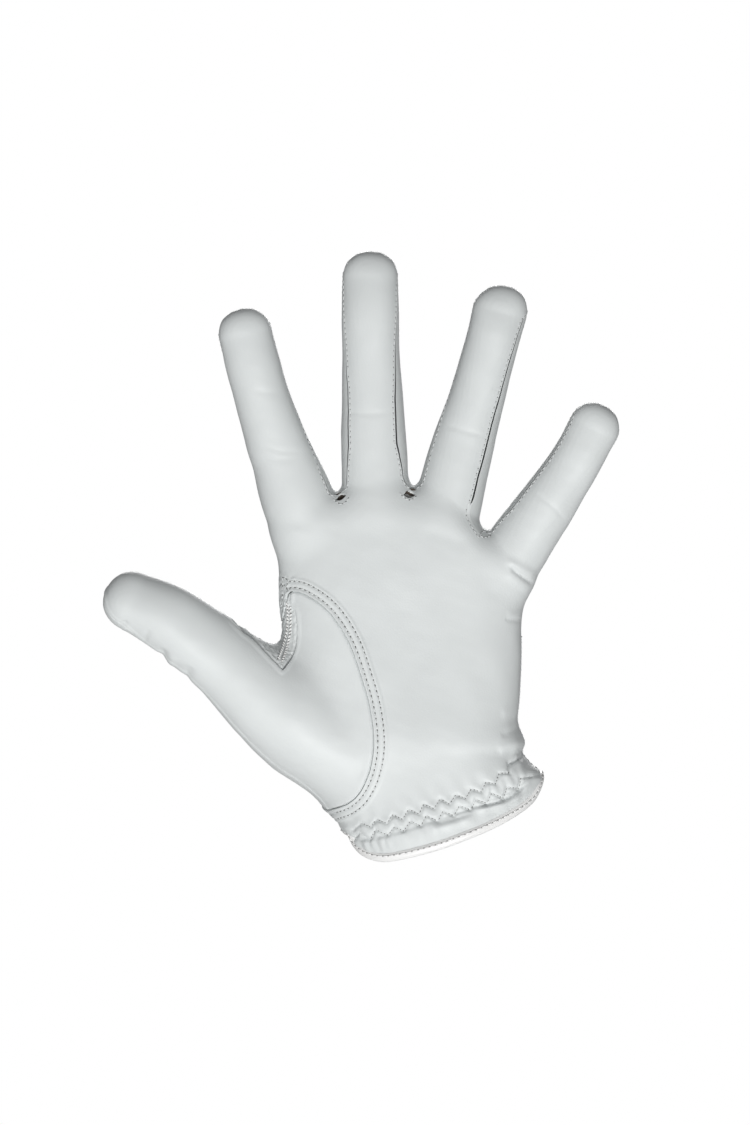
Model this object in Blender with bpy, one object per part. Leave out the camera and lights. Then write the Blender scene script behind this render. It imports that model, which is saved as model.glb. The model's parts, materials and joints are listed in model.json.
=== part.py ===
"""A left-hand golf glove in thin white leather, as it stands on an upright, open hand.

The frame: +Z runs up the middle finger, +X points to the little-finger side, and the palm faces -Y.
The origin is the middle of the cuff's mouth. Lengths below are in millimetres; MM turns them into metres.

Every leather piece is a thin shell laid on one smooth glove form, made of three kinds of surface:
the hand body (a tube of flattened rings from the cuff to the knuckles), five finger tubes (rings round a
bowed centre line), and the thumb base (a patch that runs from the seam in the palm to the thumb's first ring).
"""

import math

import bmesh
import bpy
from mathutils import Vector

MM = 0.001

# ---- leather, seams and clearances -----------------------------------------------------------------------
LEATHER = 0.8
SEAM_GAP = 0.45
JOINT_GAP = 0.5
TIP_SPLIT = 0.25
NORMAL_STEP = 0.002

# ---- hand body: little-finger edge and thumb edge, and the half depths, from the cuff to the knuckles ------
THUMB_EDGE = [(-33.5, -9.5), (-36.0, 0.0), (-40.5, 11.0), (-46.5, 26.5),
              (-52.5, 45.5), (-57.3, 64.5), (-59.7, 85.0), (-61.8, 103.5)]
LITTLE_EDGE = [(33.0, 11.0), (26.6, 24.0), (24.8, 34.5), (24.8, 45.5),
               (25.5, 57.5), (25.5, 70.5), (29.7, 79.5), (32.4, 87.3)]
PALM_DEPTH = [23.5, 20.5, 21.0, 20.0, 19.0, 17.5, 15.5, 12.5]
BACK_DEPTH = [21.5, 19.5, 18.5, 17.5, 16.5, 15.5, 14.5, 12.5]
BODY_SQUARENESS = 2.3
KNUCKLE_ARCH = 15.5
ARCH_FROM = 0.55
RIM_DIP = 6.0
DIP_UNTIL = 0.16
LITTLE_FOLD = 25.0
INDEX_FOLD = 165.0

# ---- thumb seam: where the thumb piece is let into the hand body -------------------------------------------
THUMB_SEAM_LOW, THUMB_SEAM_HIGH = 0.12, 0.86
THUMB_SEAM_REACH_PALM = 71.0
THUMB_SEAM_REACH_BACK = 34.0
THUMB_SEAM_FLATNESS = 3.8
THENAR_BULGE = 5.0
QUIRK_SHARE_PALM, QUIRK_SHARE_BACK = 0.07, 0.10

# ---- back slit, closure tab and what lies under it ---------------------------------------------------------
SLIT_ANGLE = 88.0
SLIT_TOP = 0.42
SLIT_HALF_RIM, SLIT_HALF_TOP = 7.5, 1.2
TAB_LOW, TAB_HIGH = 0.10, 0.38
TAB_ANCHOR_ANGLE, TAB_FREE_ANGLE = 64.0, 132.0
ANCHOR_WIDTH = 9.0
FASTENER_THICK = 0.9
TAB_THICK = 1.1
LAYER_GAP = 0.35
BADGE = (17.0, 11.0, 0.9)
BADGE_CORNER = 2.5

# ---- bindings and elastic ---------------------------------------------------------------------------------
BINDING_RADIUS = 1.6
BINDING_SIDES = 2
SLIT_BINDING_RADIUS = 0.9
ELASTIC_LOW, ELASTIC_HIGH = 0.075, 0.185
ELASTIC_FROM, ELASTIC_TO = 200.0, 345.0
ELASTIC_THICK = 0.8

# ---- fingers: places (x, z), depth (y), bow of the centre line, and half sizes at shares of the length -----
FINGERS = {
    "index": dict(base=(-49.5, 107.5), tip=(-70.5, 177.5), base_y=-0.5, tip_y=-8.0, bow=-2.4,
                  joints=(0.34, 0.67),
                  widths=(12.3, 10.8, 9.3, 8.8), depths=(11.4, 9.9, 8.4, 7.8), sides=("little",)),
    "middle": dict(base=(-24.5, 111.5), tip=(-26.2, 197.3), base_y=0.5, tip_y=-5.5, bow=-0.6,
                   joints=(0.34, 0.67),
                   widths=(11.3, 11.0, 9.7, 9.5), depths=(11.6, 10.2, 8.8, 8.2), sides=("thumb", "little")),
    "ring": dict(base=(-1.0, 109.0), tip=(18.6, 185.3), base_y=0.0, tip_y=-6.5, bow=1.6,
                 joints=(0.34, 0.67),
                 widths=(11.2, 10.3, 9.1, 9.0), depths=(11.2, 9.7, 8.3, 7.8), sides=("thumb", "little")),
    "little": dict(base=(23.3, 92.5), tip=(54.9, 144.9), base_y=-2.0, tip_y=-10.0, bow=1.5,
                   joints=(0.36, 0.68),
                   widths=(10.6, 10.0, 8.2, 7.7), depths=(10.2, 9.0, 7.5, 7.0), sides=("thumb",)),
}
THUMB = dict(base=(-63.8, 42.1), tip=(-118.7, 77.3), base_y=-7.0, tip_y=-15.0, bow=5.3, joints=(0.10, 0.52),
             widths=(14.6, 13.2, 11.6, 11.2), depths=(12.8, 11.8, 10.2, 9.6))
FINGER_SQUARENESS = 2.15
WEB_WIDTH, WEB_REACH = 5.0, 9.3
FORK_WIDTH = 3.0
KNUCKLE_RISE = 3.0
HINGE_PALMWARD = 0.28
TIP_BLUNT = 2.1
THUMB_ROLL = 0.7

# ---- how far each joint turns, in degrees ------------------------------------------------------------------
KNUCKLE_RANGE = (-5.0, 75.0)
MIDDLE_RANGE = (0.0, 80.0)
TIP_RANGE = (0.0, 40.0)
THUMB_RANGES = ((0.0, 35.0), (0.0, 50.0))
TAB_RANGE = (0.0, 140.0)

# ---- side strips (fourchettes) between front and back, as half angles round the finger ----------------------
SIDE_HALF_ROOT, SIDE_HALF_TIP = 38.0, 16.0
INDEX_WRAP, LITTLE_WRAP = 150.0, 30.0

COLOURS = {
    "leather": ((0.79, 0.81, 0.81, 1), 0.55),
    "side_leather": ((0.75, 0.77, 0.77, 1), 0.6),
    "binding": ((0.86, 0.86, 0.85, 1), 0.4),
    "elastic": ((0.82, 0.82, 0.80, 1), 0.9),
    "loop": ((0.80, 0.80, 0.78, 1), 0.95),
    "hook": ((0.83, 0.83, 0.82, 1), 0.7),
    "badge": ((0.62, 0.64, 0.66, 1), 0.35),
}


# ---- small helpers -----------------------------------------------------------------------------------------
def spline(values, share):
    """A smooth curve through evenly spaced values, which may be numbers or vectors."""
    last = len(values) - 1
    place = max(0.0, min(share, 1.2)) * last
    i = min(int(place), last - 1)
    f = place - i
    a, b = values[i], values[i + 1]
    before = values[i - 1] if i else a * 2 - b
    after = values[i + 2] if i + 2 <= last else b * 2 - a
    slope_a, slope_b = (b - before) * 0.5, (after - a) * 0.5
    return (a * (2 * f**3 - 3 * f**2 + 1) + slope_a * (f**3 - 2 * f**2 + f)
            + b * (3 * f**2 - 2 * f**3) + slope_b * (f**3 - f**2))


def flat_ring(angle, squareness):
    """Cosine and sine of an angle in degrees, pushed out towards a rounded rectangle."""
    c, s = math.cos(math.radians(angle)), math.sin(math.radians(angle))
    size = (abs(c) ** squareness + abs(s) ** squareness) ** (-1 / squareness)
    return c * size, s * size


def mix(a, b, share):
    return a + (b - a) * share


# ---- the glove form: hand body -----------------------------------------------------------------------------
def body_point(height, angle):
    """A point on the hand body. height runs from 0 at the cuff to 1 at the knuckles.
    angle is 0 at the little-finger edge, 90 at the back, 180 at the thumb edge and 270 in the palm."""
    thumb = spline([Vector((x, 0, z)) for x, z in THUMB_EDGE], height)
    little = spline([Vector((x, 0, z)) for x, z in LITTLE_EDGE], height)
    c, s = flat_ring(angle, BODY_SQUARENESS)
    depth = spline(PALM_DEPTH if s < 0 else BACK_DEPTH, height)
    point = mix(thumb, little, 0.5) + (little - thumb) * 0.5 * c + Vector((0, depth * s, 0))
    rise = max(0.0, (height - ARCH_FROM) / (1 - ARCH_FROM))
    point.z += KNUCKLE_ARCH * rise**2 * (1 - c * c)
    point.z += RIM_DIP * s * max(0.0, 1 - height / DIP_UNTIL)
    return point


def thumb_seam(height, reach):
    """How far, in degrees, the thumb seam reaches into the palm or the back from the thumb edge."""
    share = (height - THUMB_SEAM_LOW) / (THUMB_SEAM_HIGH - THUMB_SEAM_LOW)
    return reach * (1 - min(1.0, abs(2 * share - 1)) ** THUMB_SEAM_FLATNESS)


def fold_angle(height):
    """Where the palm and back leather meet on the thumb edge, above and below the thumb."""
    if THUMB_SEAM_LOW < height < THUMB_SEAM_HIGH:
        return 180.0
    beyond = max(height - THUMB_SEAM_HIGH, THUMB_SEAM_LOW - height)
    return 180.0 - (180.0 - INDEX_FOLD) * min(1.0, beyond / 0.08)


# ---- the glove form: finger tubes --------------------------------------------------------------------------
class Tube:
    """One finger: a bowed centre line, rings round it, and its joints."""

    def __init__(self, name, facts, roll=0.0):
        self.name, self.facts = name, facts
        (bx, bz), (tx, tz) = facts["base"], facts["tip"]
        self.start, self.end = Vector((bx, facts["base_y"], bz)), Vector((tx, facts["tip_y"], tz))
        self.length = (self.end - self.start).length
        run = (self.end - self.start).normalized()
        self.sideways = Vector((run.z, 0, -run.x)).normalized()
        self.across = (self.sideways + Vector((0, roll, 0))).normalized()
        self.knots = (0.0, *facts["joints"], 1.0) if roll == 0 else (0.0, 0.25, facts["joints"][1], 1.0)

    def centre(self, share):
        point = mix(self.start, self.end, share)
        return point + self.sideways * self.facts["bow"] * 4 * share * (1 - share)

    def heading(self, share):
        return (self.centre(share + 0.01) - self.centre(share - 0.01)).normalized()

    def axes(self, share):
        """Heading, across and back directions of the ring at this share of the length."""
        heading = self.heading(share)
        across = (self.across - heading * self.across.dot(heading)).normalized()
        return heading, across, heading.cross(across)

    def half(self, sizes, share):
        """A half size between the stated ones, closing to a dome over the fingertip."""
        k = self.knots
        place = next(i for i in range(3) if share <= k[i + 1] or i == 2)
        even = (place + (share - k[place]) / (k[place + 1] - k[place])) / 3
        size = spline(sizes, even)
        dome = self.facts["widths"][3] * 1.05 / self.length
        into = max(0.0, min(1.0, (share - 1 + dome) / dome))
        return size * (1 - into**TIP_BLUNT) ** (1 / TIP_BLUNT)

    def point(self, share, angle):
        _, across, back = self.axes(min(share, 0.995))
        c, s = flat_ring(angle, FINGER_SQUARENESS)
        width, depth = self.half(self.facts["widths"], share), self.half(self.facts["depths"], share)
        return self.centre(share) + across * (width * c) + back * (depth * s)


class Joint:
    """A hinge in a tube. plane_up is the direction in which the clearance beside the hinge is measured."""

    def __init__(self, name, tube, share, axis, turn):
        self.name, self.tube, self.share, self.turn = name, tube, share, turn
        self.axis = axis
        heading = tube.heading(share)
        self.plane_up = (heading - axis * axis.dot(heading)).normalized()
        self.palmward = axis.cross(self.plane_up)
        depth = tube.half(tube.facts["depths"], share)
        self.place = tube.centre(share) + self.palmward * depth * HINGE_PALMWARD

    def clearance(self, point, side):
        """How far a point is beyond the clearance this hinge needs, on its upper (1) or lower (-1) side."""
        offset = point - self.place
        depth = offset.dot(self.palmward)
        angle = self.turn[1] if depth > 0 else self.turn[0]
        return side * offset.dot(self.plane_up) - JOINT_GAP - depth * math.tan(math.radians(angle / 2))

    def edge(self, angle, side):
        """The share of the tube's length where a wall starts (side 1) or ends (side -1) beside this hinge,
        so that the walls on both sides clear each other over the hinge's whole range."""
        near, far = self.share - side * 0.1, self.share + side * 0.45
        for _ in range(24):
            middle = (near + far) / 2
            if self.clearance(self.tube.point(middle, angle), side) > 0:
                far = middle
            else:
                near = middle
        return far


def fork_place(first, second):
    """The place in the fork between two fingers, at the level of their lowest rings."""
    left = first.centre(0.0) + first.across * first.facts["widths"][0]
    right = second.centre(0.0) - second.across * second.facts["widths"][0]
    return mix(left, right, 0.5)


def knuckle_edge(angle):
    """The height at which the hand body's leather ends under the knuckle hinges, at an angle round the body."""
    hinges = [JOINTS[name][0] for name in FINGERS]
    tubes = [TUBES[name] for name in FINGERS]
    forks = [fork_place(a, b).x for a, b in zip(tubes, tubes[1:])]
    bounds = [-1e9, *forks, 1e9]

    def clearance(height):
        point = body_point(height, angle)
        near = [hinge for hinge, low, high in zip(hinges, bounds, bounds[1:])
                if low - FORK_WIDTH < point.x < high + FORK_WIDTH]
        return min(hinge.clearance(point, -1) for hinge in near)

    low, high = 0.7, 1.15
    for _ in range(20):
        middle = (low + high) / 2
        low, high = (middle, high) if clearance(middle) > 0 else (low, middle)
    return low


# ---- the glove form: thumb base ----------------------------------------------------------------------------
def thumb_base_point(thumb, along, out, side):
    """A point on the thumb base. along runs down the thumb seam from the crotch (0) to the wrist (1),
    out runs from the seam (0) to the thumb's first ring (1). side is -1 in the palm and 1 on the back."""
    height = mix(THUMB_SEAM_HIGH, THUMB_SEAM_LOW, along)
    reach = THUMB_SEAM_REACH_PALM if side < 0 else THUMB_SEAM_REACH_BACK
    seam_reach = thumb_seam(height, reach)
    seam_angle = 180 - side * seam_reach
    start = body_point(height, seam_angle)
    ring_angle = thumb_base_angle(thumb, along, side)
    end = thumb.point(JOINTS["thumb"][0].edge(ring_angle, -1), ring_angle)
    span = (end - start).length
    toward_edge = (body_point(height, seam_angle + side * 4) - start).normalized()
    leaving = mix((end - start).normalized(), toward_edge, min(1.0, seam_reach / 25))
    first = start + leaving * span * 0.3
    second = end - thumb.heading(0.0) * span * 0.3
    w = 1 - out
    point = start * w**3 + first * (3 * w * w * out) + second * (3 * w * out * out) + end * out**3
    swell = THENAR_BULGE * math.sin(math.pi * out) * math.sin(math.pi * along)
    return point + Vector((0, side * swell * (1.0 if side < 0 else 0.3), 0))


def thumb_base_angle(thumb, along, side):
    """The angle on the thumb's first ring that this place on the thumb seam leads to."""
    _, across, back = thumb.axes(0.0)
    crotch = math.degrees(math.atan2(back.dot(thumb.sideways), across.dot(thumb.sideways)))
    return crotch + side * 180 * along


# ---- building shells ---------------------------------------------------------------------------------------
def new_material(name):
    colour, roughness = COLOURS[name]
    material = bpy.data.materials.new(name)
    material.use_nodes = True
    shader = material.node_tree.nodes["Principled BSDF"]
    shader.inputs["Base Color"].default_value = colour
    shader.inputs["Roughness"].default_value = roughness
    shader.inputs["Metallic"].default_value = 0.0
    return material


def place_object(name, data, material, hinge):
    """Puts an object, whose points are already relative to its hinge, under that hinge's empty."""
    obj = bpy.data.objects.new(name, data)
    obj.data.materials.append(MATERIALS[material])
    obj.parent = HINGES[hinge]
    bpy.context.scene.collection.objects.link(obj)
    return obj


def surface_normal(surface, u, v):
    du = surface(u + NORMAL_STEP, v) - surface(u - NORMAL_STEP, v)
    dv = surface(u, v + NORMAL_STEP) - surface(u, v - NORMAL_STEP)
    return du.cross(dv).normalized()


def shell(name, surface, columns, rows, material, hinge="hand", thickness=LEATHER, outside=1, lift=0.0,
          removed=()):
    """A closed thin shell over surface(u, v), u and v from 0 to 1. outside is 1 if the normal of u cross v
    points out. lift raises the outer face off the form. removed lists grid cells to leave out."""
    origin = ORIGINS[hinge]
    mesh = bmesh.new()
    outer, inner = {}, {}
    for i in range(columns + 1):
        for j in range(rows + 1):
            u, v = i / columns, j / rows
            inset_v = min(v, 1 - 2 * NORMAL_STEP)
            normal = surface_normal(surface, u, inset_v) * outside
            point = surface(u, v) + normal * lift
            outer[i, j] = mesh.verts.new((point - origin) * MM)
            inner[i, j] = mesh.verts.new((point - normal * thickness - origin) * MM)
    kept = {(i, j) for i in range(columns) for j in range(rows)} - set(removed)
    for i, j in kept:
        corners = [(i, j), (i + 1, j), (i + 1, j + 1), (i, j + 1)]
        mesh.faces.new([outer[c] for c in corners])
        mesh.faces.new([inner[c] for c in reversed(corners)])
        neighbours = [(i, j - 1), (i + 1, j), (i, j + 1), (i - 1, j)]
        for side, beyond in enumerate(neighbours):
            if beyond not in kept:
                a, b = corners[side], corners[(side + 1) % 4]
                mesh.faces.new([outer[b], outer[a], inner[a], inner[b]])
    bmesh.ops.remove_doubles(mesh, verts=mesh.verts, dist=1e-6)
    loose = [vert for vert in mesh.verts if not vert.link_faces]
    bmesh.ops.delete(mesh, geom=loose, context="VERTS")
    bmesh.ops.recalc_face_normals(mesh, faces=mesh.faces)
    data = bpy.data.meshes.new(name)
    mesh.to_mesh(data)
    mesh.free()
    data.shade_smooth()
    data.set_sharp_from_angle(angle=math.radians(50))
    return place_object(name, data, material, hinge)


def cord(name, points, radius, material, hinge="hand"):
    """A round solid cord through the points, with flat ends."""
    data = bpy.data.curves.new(name, "CURVE")
    data.dimensions = "3D"
    data.bevel_depth = radius * MM
    data.bevel_resolution = BINDING_SIDES
    data.use_fill_caps = True
    line = data.splines.new("POLY")
    line.points.add(len(points) - 1)
    for slot, point in zip(line.points, points):
        slot.co = (*((point - ORIGINS[hinge]) * MM), 1)
    return place_object(name, data, material, hinge)


# ---- the pieces: hand body ---------------------------------------------------------------------------------
def gap_angle(height, gap=SEAM_GAP):
    """Half a seam gap, in degrees round the hand body."""
    reach = spline(PALM_DEPTH, height)
    return math.degrees(gap / 2 / reach)


def palm_surface(u, v):
    height = knuckle_edge(mix(INDEX_FOLD, 360 + LITTLE_FOLD, u)) * v
    start = fold_angle(height) + thumb_seam(height, THUMB_SEAM_REACH_PALM) + gap_angle(height)
    return body_point(height, mix(start, 360 + LITTLE_FOLD - gap_angle(height), u))


def slit_half_angle(height):
    half = mix(SLIT_HALF_RIM, SLIT_HALF_TOP, min(1.0, height / SLIT_TOP))
    return math.degrees(half / 34.0)


def back_angle(height, u):
    """Where a column of the back leather lies. u up to 0.4 is on the little-finger side of the slit,
    0.6 and more on the thumb side."""
    little = LITTLE_FOLD + gap_angle(height)
    thumb = fold_angle(height) - thumb_seam(height, THUMB_SEAM_REACH_BACK) - gap_angle(height)
    half = slit_half_angle(height)
    if u <= 0.4:
        return mix(little, SLIT_ANGLE - half, u / 0.4)
    if u >= 0.6:
        return mix(SLIT_ANGLE + half, thumb, (u - 0.6) / 0.4)
    return mix(SLIT_ANGLE - half, SLIT_ANGLE + half, (u - 0.4) / 0.2)


def back_surface(u, v):
    height = knuckle_edge(back_angle(1.0, u)) * v
    return body_point(height, back_angle(height, u))


def make_body():
    shell("palm_panel", palm_surface, 20, 28, "leather")
    rows = 24
    slit_cells = [(i, j) for i in range(8, 12) for j in range(rows) if (j + 1) / rows <= SLIT_TOP + 0.04]
    shell("back_panel", back_surface, 20, rows, "leather", removed=slit_cells)

    def elastic(u, v):
        return body_point(mix(ELASTIC_LOW, ELASTIC_HIGH, v), mix(ELASTIC_FROM, ELASTIC_TO, u))

    shell("wrist_elastic", elastic, 8, 2, "elastic", thickness=ELASTIC_THICK, lift=-LEATHER - 0.5)


def make_thumb_base(thumb):
    gap = 0.012
    out_start = 0.012

    def front(u, v):
        return thumb_base_point(thumb, mix(QUIRK_SHARE_PALM + gap, 1 - gap, u), mix(out_start, 1.0, v), -1)

    def back(u, v):
        return thumb_base_point(thumb, mix(QUIRK_SHARE_BACK + gap, 1 - gap, u), mix(out_start, 1.0, v), 1)

    def quirk(u, v):
        out = mix(0.08, 0.97, v)
        palm_side = thumb_base_point(thumb, QUIRK_SHARE_PALM - 0.006, out, -1)
        back_side = thumb_base_point(thumb, QUIRK_SHARE_BACK - 0.006, out, 1)
        crown = thumb_base_point(thumb, 0.003, out, -1) * 2 - (palm_side + back_side) * 0.5
        return palm_side * (1 - u) ** 2 + crown * (2 * u * (1 - u)) + back_side * u**2

    shell("thumb_base_front", front, 16, 7, "leather", outside=-1)
    shell("thumb_base_back", back, 12, 6, "leather", outside=1)
    shell("thumb_quirk", quirk, 6, 5, "side_leather", outside=1)


def make_webs(tubes):
    """Three small saddles, one in each fork between two fingers, from the palm leather to the back leather."""
    pairs = (("index", "middle"), ("middle", "ring"), ("ring", "little"))
    for first, second in pairs:
        middle = fork_place(tubes[first], tubes[second])
        hinges = (JOINTS[first][0], JOINTS[second][0])

        def saddle(u, v, middle=middle, hinges=hinges):
            x, y = middle.x + mix(-WEB_WIDTH, WEB_WIDTH, u) / 2, mix(-WEB_REACH, WEB_REACH, v)
            low, high = middle.z - 30.0, middle.z + 10.0
            for _ in range(20):
                z = (low + high) / 2
                clear = min(h.clearance(Vector((x, y, z)), -1) for h in hinges) > 0.2
                low, high = (z, high) if clear else (low, z)
            return Vector((x, y, low))

        shell(f"web_{first}_{second}", saddle, 2, 6, "side_leather", outside=1)


def make_bindings():
    """The rolled binding round the cuff's mouth and the thin one round the back slit."""
    slit = slit_half_angle(0.0)
    start, end = SLIT_ANGLE + slit + 2.5, SLIT_ANGLE - slit - 2.5 + 360
    steps = 40
    path = []
    for i in range(steps + 1):
        angle = mix(start, end, i / steps)
        edge = body_point(0.0, angle)
        drop = (edge - body_point(0.03, angle)).normalized() * (BINDING_RADIUS + 0.45)
        inward = body_normal(0.01, angle) * (-LEATHER / 2)
        path.append(edge + drop + inward)
    cord("cuff_binding", path, BINDING_RADIUS, "binding")

    lift = SLIT_BINDING_RADIUS - LEATHER
    steps = 12
    inset = math.degrees((SLIT_BINDING_RADIUS + 0.45) / 34.0)
    path = []
    for side in (-1, 1):
        edge = []
        for i in range(steps + 1):
            height = SLIT_TOP * 0.97 * i / steps
            angle = SLIT_ANGLE + side * max(0.0, slit_half_angle(height) - inset)
            edge.append(body_point(height, angle) + Vector((0, lift, 0)))
        path += edge if side < 0 else edge[::-1]
    cord("slit_binding", path, SLIT_BINDING_RADIUS, "binding")


# ---- the pieces: closure tab -------------------------------------------------------------------------------
def tab_lift(u):
    """Height of the tab's underside over the form: low where it is sewn down, higher over the fastener pads."""
    over_pads = 3 * LAYER_GAP + 2 * FASTENER_THICK
    return mix(LAYER_GAP, over_pads, min(1.0, u / 0.3))


def tab_outline(u):
    """Half height of the tab, as a share: full along most of its length, rounded at the free end."""
    into = max(0.0, min(1.0, (u - 0.62) / 0.38))
    return (1 - into**2.4) ** (1 / 2.4) * 0.999 + 0.001


def tab_surface(u, v):
    middle, half = (TAB_LOW + TAB_HIGH) / 2, (TAB_HIGH - TAB_LOW) / 2
    height = middle + half * (2 * v - 1) * max(0.25, tab_outline(u))
    angle = mix(TAB_ANCHOR_ANGLE, TAB_FREE_ANGLE, u)
    point = body_point(height, angle)
    normal = body_normal(height, angle)
    return point + normal * (tab_lift(u) + TAB_THICK)


def body_normal(height, angle):
    around = body_point(height, angle + 1) - body_point(height, angle - 1)
    upward = body_point(height + 0.01, angle) - body_point(height - 0.01, angle)
    return around.cross(upward).normalized()


def make_tab():
    shell("closure_tab", tab_surface, 12, 4, "leather", hinge="tab_hinge", thickness=TAB_THICK)

    def pad(low, high, start, end):
        return lambda u, v: body_point(mix(low, high, v), mix(start, end, u))

    start, end = SLIT_ANGLE + 13.5, TAB_FREE_ANGLE - 3.0
    loop, hook = pad(0.13, 0.35, start, end), pad(0.15, 0.33, start + 1.5, end - 5.5)
    shell("loop_pad", loop, 6, 3, "loop", thickness=FASTENER_THICK, lift=LAYER_GAP + FASTENER_THICK)
    shell("hook_pad", hook, 5, 3, "hook", hinge="tab_hinge", thickness=FASTENER_THICK,
          lift=2 * LAYER_GAP + 2 * FASTENER_THICK)

    def anchor(u, v):
        gap = math.degrees(0.6 / 30.0)
        width = math.degrees(ANCHOR_WIDTH / 30.0)
        angle = mix(TAB_ANCHOR_ANGLE - gap - width, TAB_ANCHOR_ANGLE - gap, u)
        return body_point(mix(TAB_LOW, TAB_HIGH, v), angle)

    shell("tab_anchor", anchor, 3, 4, "leather", thickness=TAB_THICK, lift=LAYER_GAP + TAB_THICK)
    make_badge()


def badge_frame():
    """Centre, long direction, short direction and normal of the flat badge on the tab."""
    height, angle = (TAB_LOW + TAB_HIGH) / 2, (TAB_ANCHOR_ANGLE + TAB_FREE_ANGLE) / 2
    normal = body_normal(height, angle)
    upward = body_point(height + 0.02, angle) - body_point(height - 0.02, angle)
    short = (upward - normal * upward.dot(normal)).normalized()
    along = short.cross(normal)
    top = tab_lift(0.5) + TAB_THICK
    return body_point(height, angle) + normal * (top + 0.35), along, short, normal


def make_badge():
    """A blank flat badge, a plate with rounded corners, glued on the tab."""
    centre, along, short, normal = badge_frame()
    length, width, thick = BADGE
    mesh = bmesh.new()
    outline = []
    for corner, (sx, sy) in enumerate(((1, 1), (-1, 1), (-1, -1), (1, -1))):
        middle_x, middle_y = sx * (length / 2 - BADGE_CORNER), sy * (width / 2 - BADGE_CORNER)
        for step in range(5):
            turn = math.radians(90 * corner + 22.5 * step)
            outline.append((middle_x + BADGE_CORNER * math.cos(turn), middle_y + BADGE_CORNER * math.sin(turn)))
    origin = ORIGINS["tab_hinge"]
    base = [mesh.verts.new((centre + along * x + short * y - origin) * MM) for x, y in outline]
    face = mesh.faces.new(base)
    raised = bmesh.ops.extrude_face_region(mesh, geom=[face])
    moved = [g for g in raised["geom"] if isinstance(g, bmesh.types.BMVert)]
    bmesh.ops.translate(mesh, verts=moved, vec=normal * thick * MM)
    bmesh.ops.recalc_face_normals(mesh, faces=mesh.faces)
    data = bpy.data.meshes.new("tab_badge")
    mesh.to_mesh(data)
    mesh.free()
    place_object("tab_badge", data, "badge", "tab_hinge")


# ---- the pieces: fingers -----------------------------------------------------------------------------------
def side_half(share):
    """Half angle of a side strip, which narrows towards the fingertip."""
    return mix(SIDE_HALF_ROOT, SIDE_HALF_TIP, min(1.0, share / 0.7))


def walls(tube):
    """The walls round a finger below its last joint: name, start angle and end angle as functions of share."""
    has_thumb_side = "thumb" in tube.facts["sides"]
    has_little_side = "little" in tube.facts["sides"]

    def gap(share):
        return math.degrees(SEAM_GAP / 2 / tube.half(tube.facts["depths"], share))

    def front_start(s):
        return 180 + side_half(s) + gap(s) if has_thumb_side else INDEX_WRAP + gap(s)

    def front_end(s):
        return 360 - side_half(s) - gap(s) if has_little_side else 360 + LITTLE_WRAP - gap(s)

    def back_start(s):
        return side_half(s) + gap(s) if has_little_side else LITTLE_WRAP + gap(s)

    def back_end(s):
        return 180 - side_half(s) - gap(s) if has_thumb_side else INDEX_WRAP - gap(s)

    found = [("front", front_start, front_end, 6, "leather"), ("back", back_start, back_end, 6, "leather")]
    if has_thumb_side:
        found.append(("thumb_side_strip", lambda s: 180 - side_half(s) + gap(s),
                      lambda s: 180 + side_half(s) - gap(s), 3, "side_leather"))
    if has_little_side:
        found.append(("little_side_strip", lambda s: -side_half(s) + gap(s),
                      lambda s: side_half(s) - gap(s), 3, "side_leather"))
    return found


def wall_surface(tube, low_edge, high_edge, start, end):
    """A surface between two joints, or from a joint to the fingertip, and between two angles."""

    def surface(u, v):
        guess = tube.facts["joints"][0]
        angle = mix(start(guess), end(guess), u)
        share = mix(low_edge(angle), high_edge(angle), v)
        angle = mix(start(share), end(share), u)
        return tube.point(share, angle)

    return surface


def make_segment(tube, part, hinge, lower, upper):
    for wall, start, end, columns, material in walls(tube):
        surface = wall_surface(tube, lambda a: lower.edge(a, 1), lambda a: upper.edge(a, -1), start, end)
        shell(f"{tube.name}_{part}_{wall}", surface, columns, 3, material, hinge=hinge)


def make_halves(tube, part, hinge, lower, upper, seam):
    """A segment in two halves that meet at the sides; upper is the joint above, or None at the fingertip."""
    for wall, start in (("front", seam + 180.0), ("back", seam)):
        def surface(u, v, start=start, wall=wall):
            angle = mix(start, start + 180.0, u)
            top = upper.edge(angle, -1) if upper else 1.0
            share = mix(lower.edge(angle, 1), top, v if upper else 1 - (1 - v) ** 1.6)
            away = tube.axes(0.9)
            split = away[1] * math.sin(math.radians(seam)) * -1 + away[2] * math.cos(math.radians(seam))
            return tube.point(share, angle) + split * (TIP_SPLIT if wall == "back" else -TIP_SPLIT)

        shell(f"{tube.name}_{part}_{wall}", surface, 10, 6 if upper is None else 3, "leather", hinge=hinge)


def make_finger(tube, joints):
    knuckle, middle, last = joints
    make_segment(tube, "proximal", knuckle.name, knuckle, middle)
    make_segment(tube, "middle", middle.name, middle, last)
    make_halves(tube, "tip", last.name, last, None, 0.0)


def make_thumb(tube, joints):
    lower, upper = joints
    seam = thumb_base_angle(tube, 0.0, 1)
    make_halves(tube, "proximal", lower.name, lower, upper, seam)
    make_halves(tube, "tip", upper.name, upper, None, seam)


# ---- hinges ------------------------------------------------------------------------------------------------
def tab_hinge_line():
    """Place and direction of the line that the closure tab folds along, at the outer corner of its sewn end."""
    low = tab_surface(0.0, 0.0)
    high = tab_surface(0.0, 1.0)
    return mix(low, high, 0.5), (low - high).normalized()


def add_hinge(name, place, parent):
    empty = bpy.data.objects.new(f"{name}_axis", None)
    empty.empty_display_size = 0.01
    empty.parent = HINGES[parent] if parent else None
    empty.location = (place - (ORIGINS[parent] if parent else Vector())) * MM
    bpy.context.scene.collection.objects.link(empty)
    HINGES[name], ORIGINS[name] = empty, place


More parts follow.
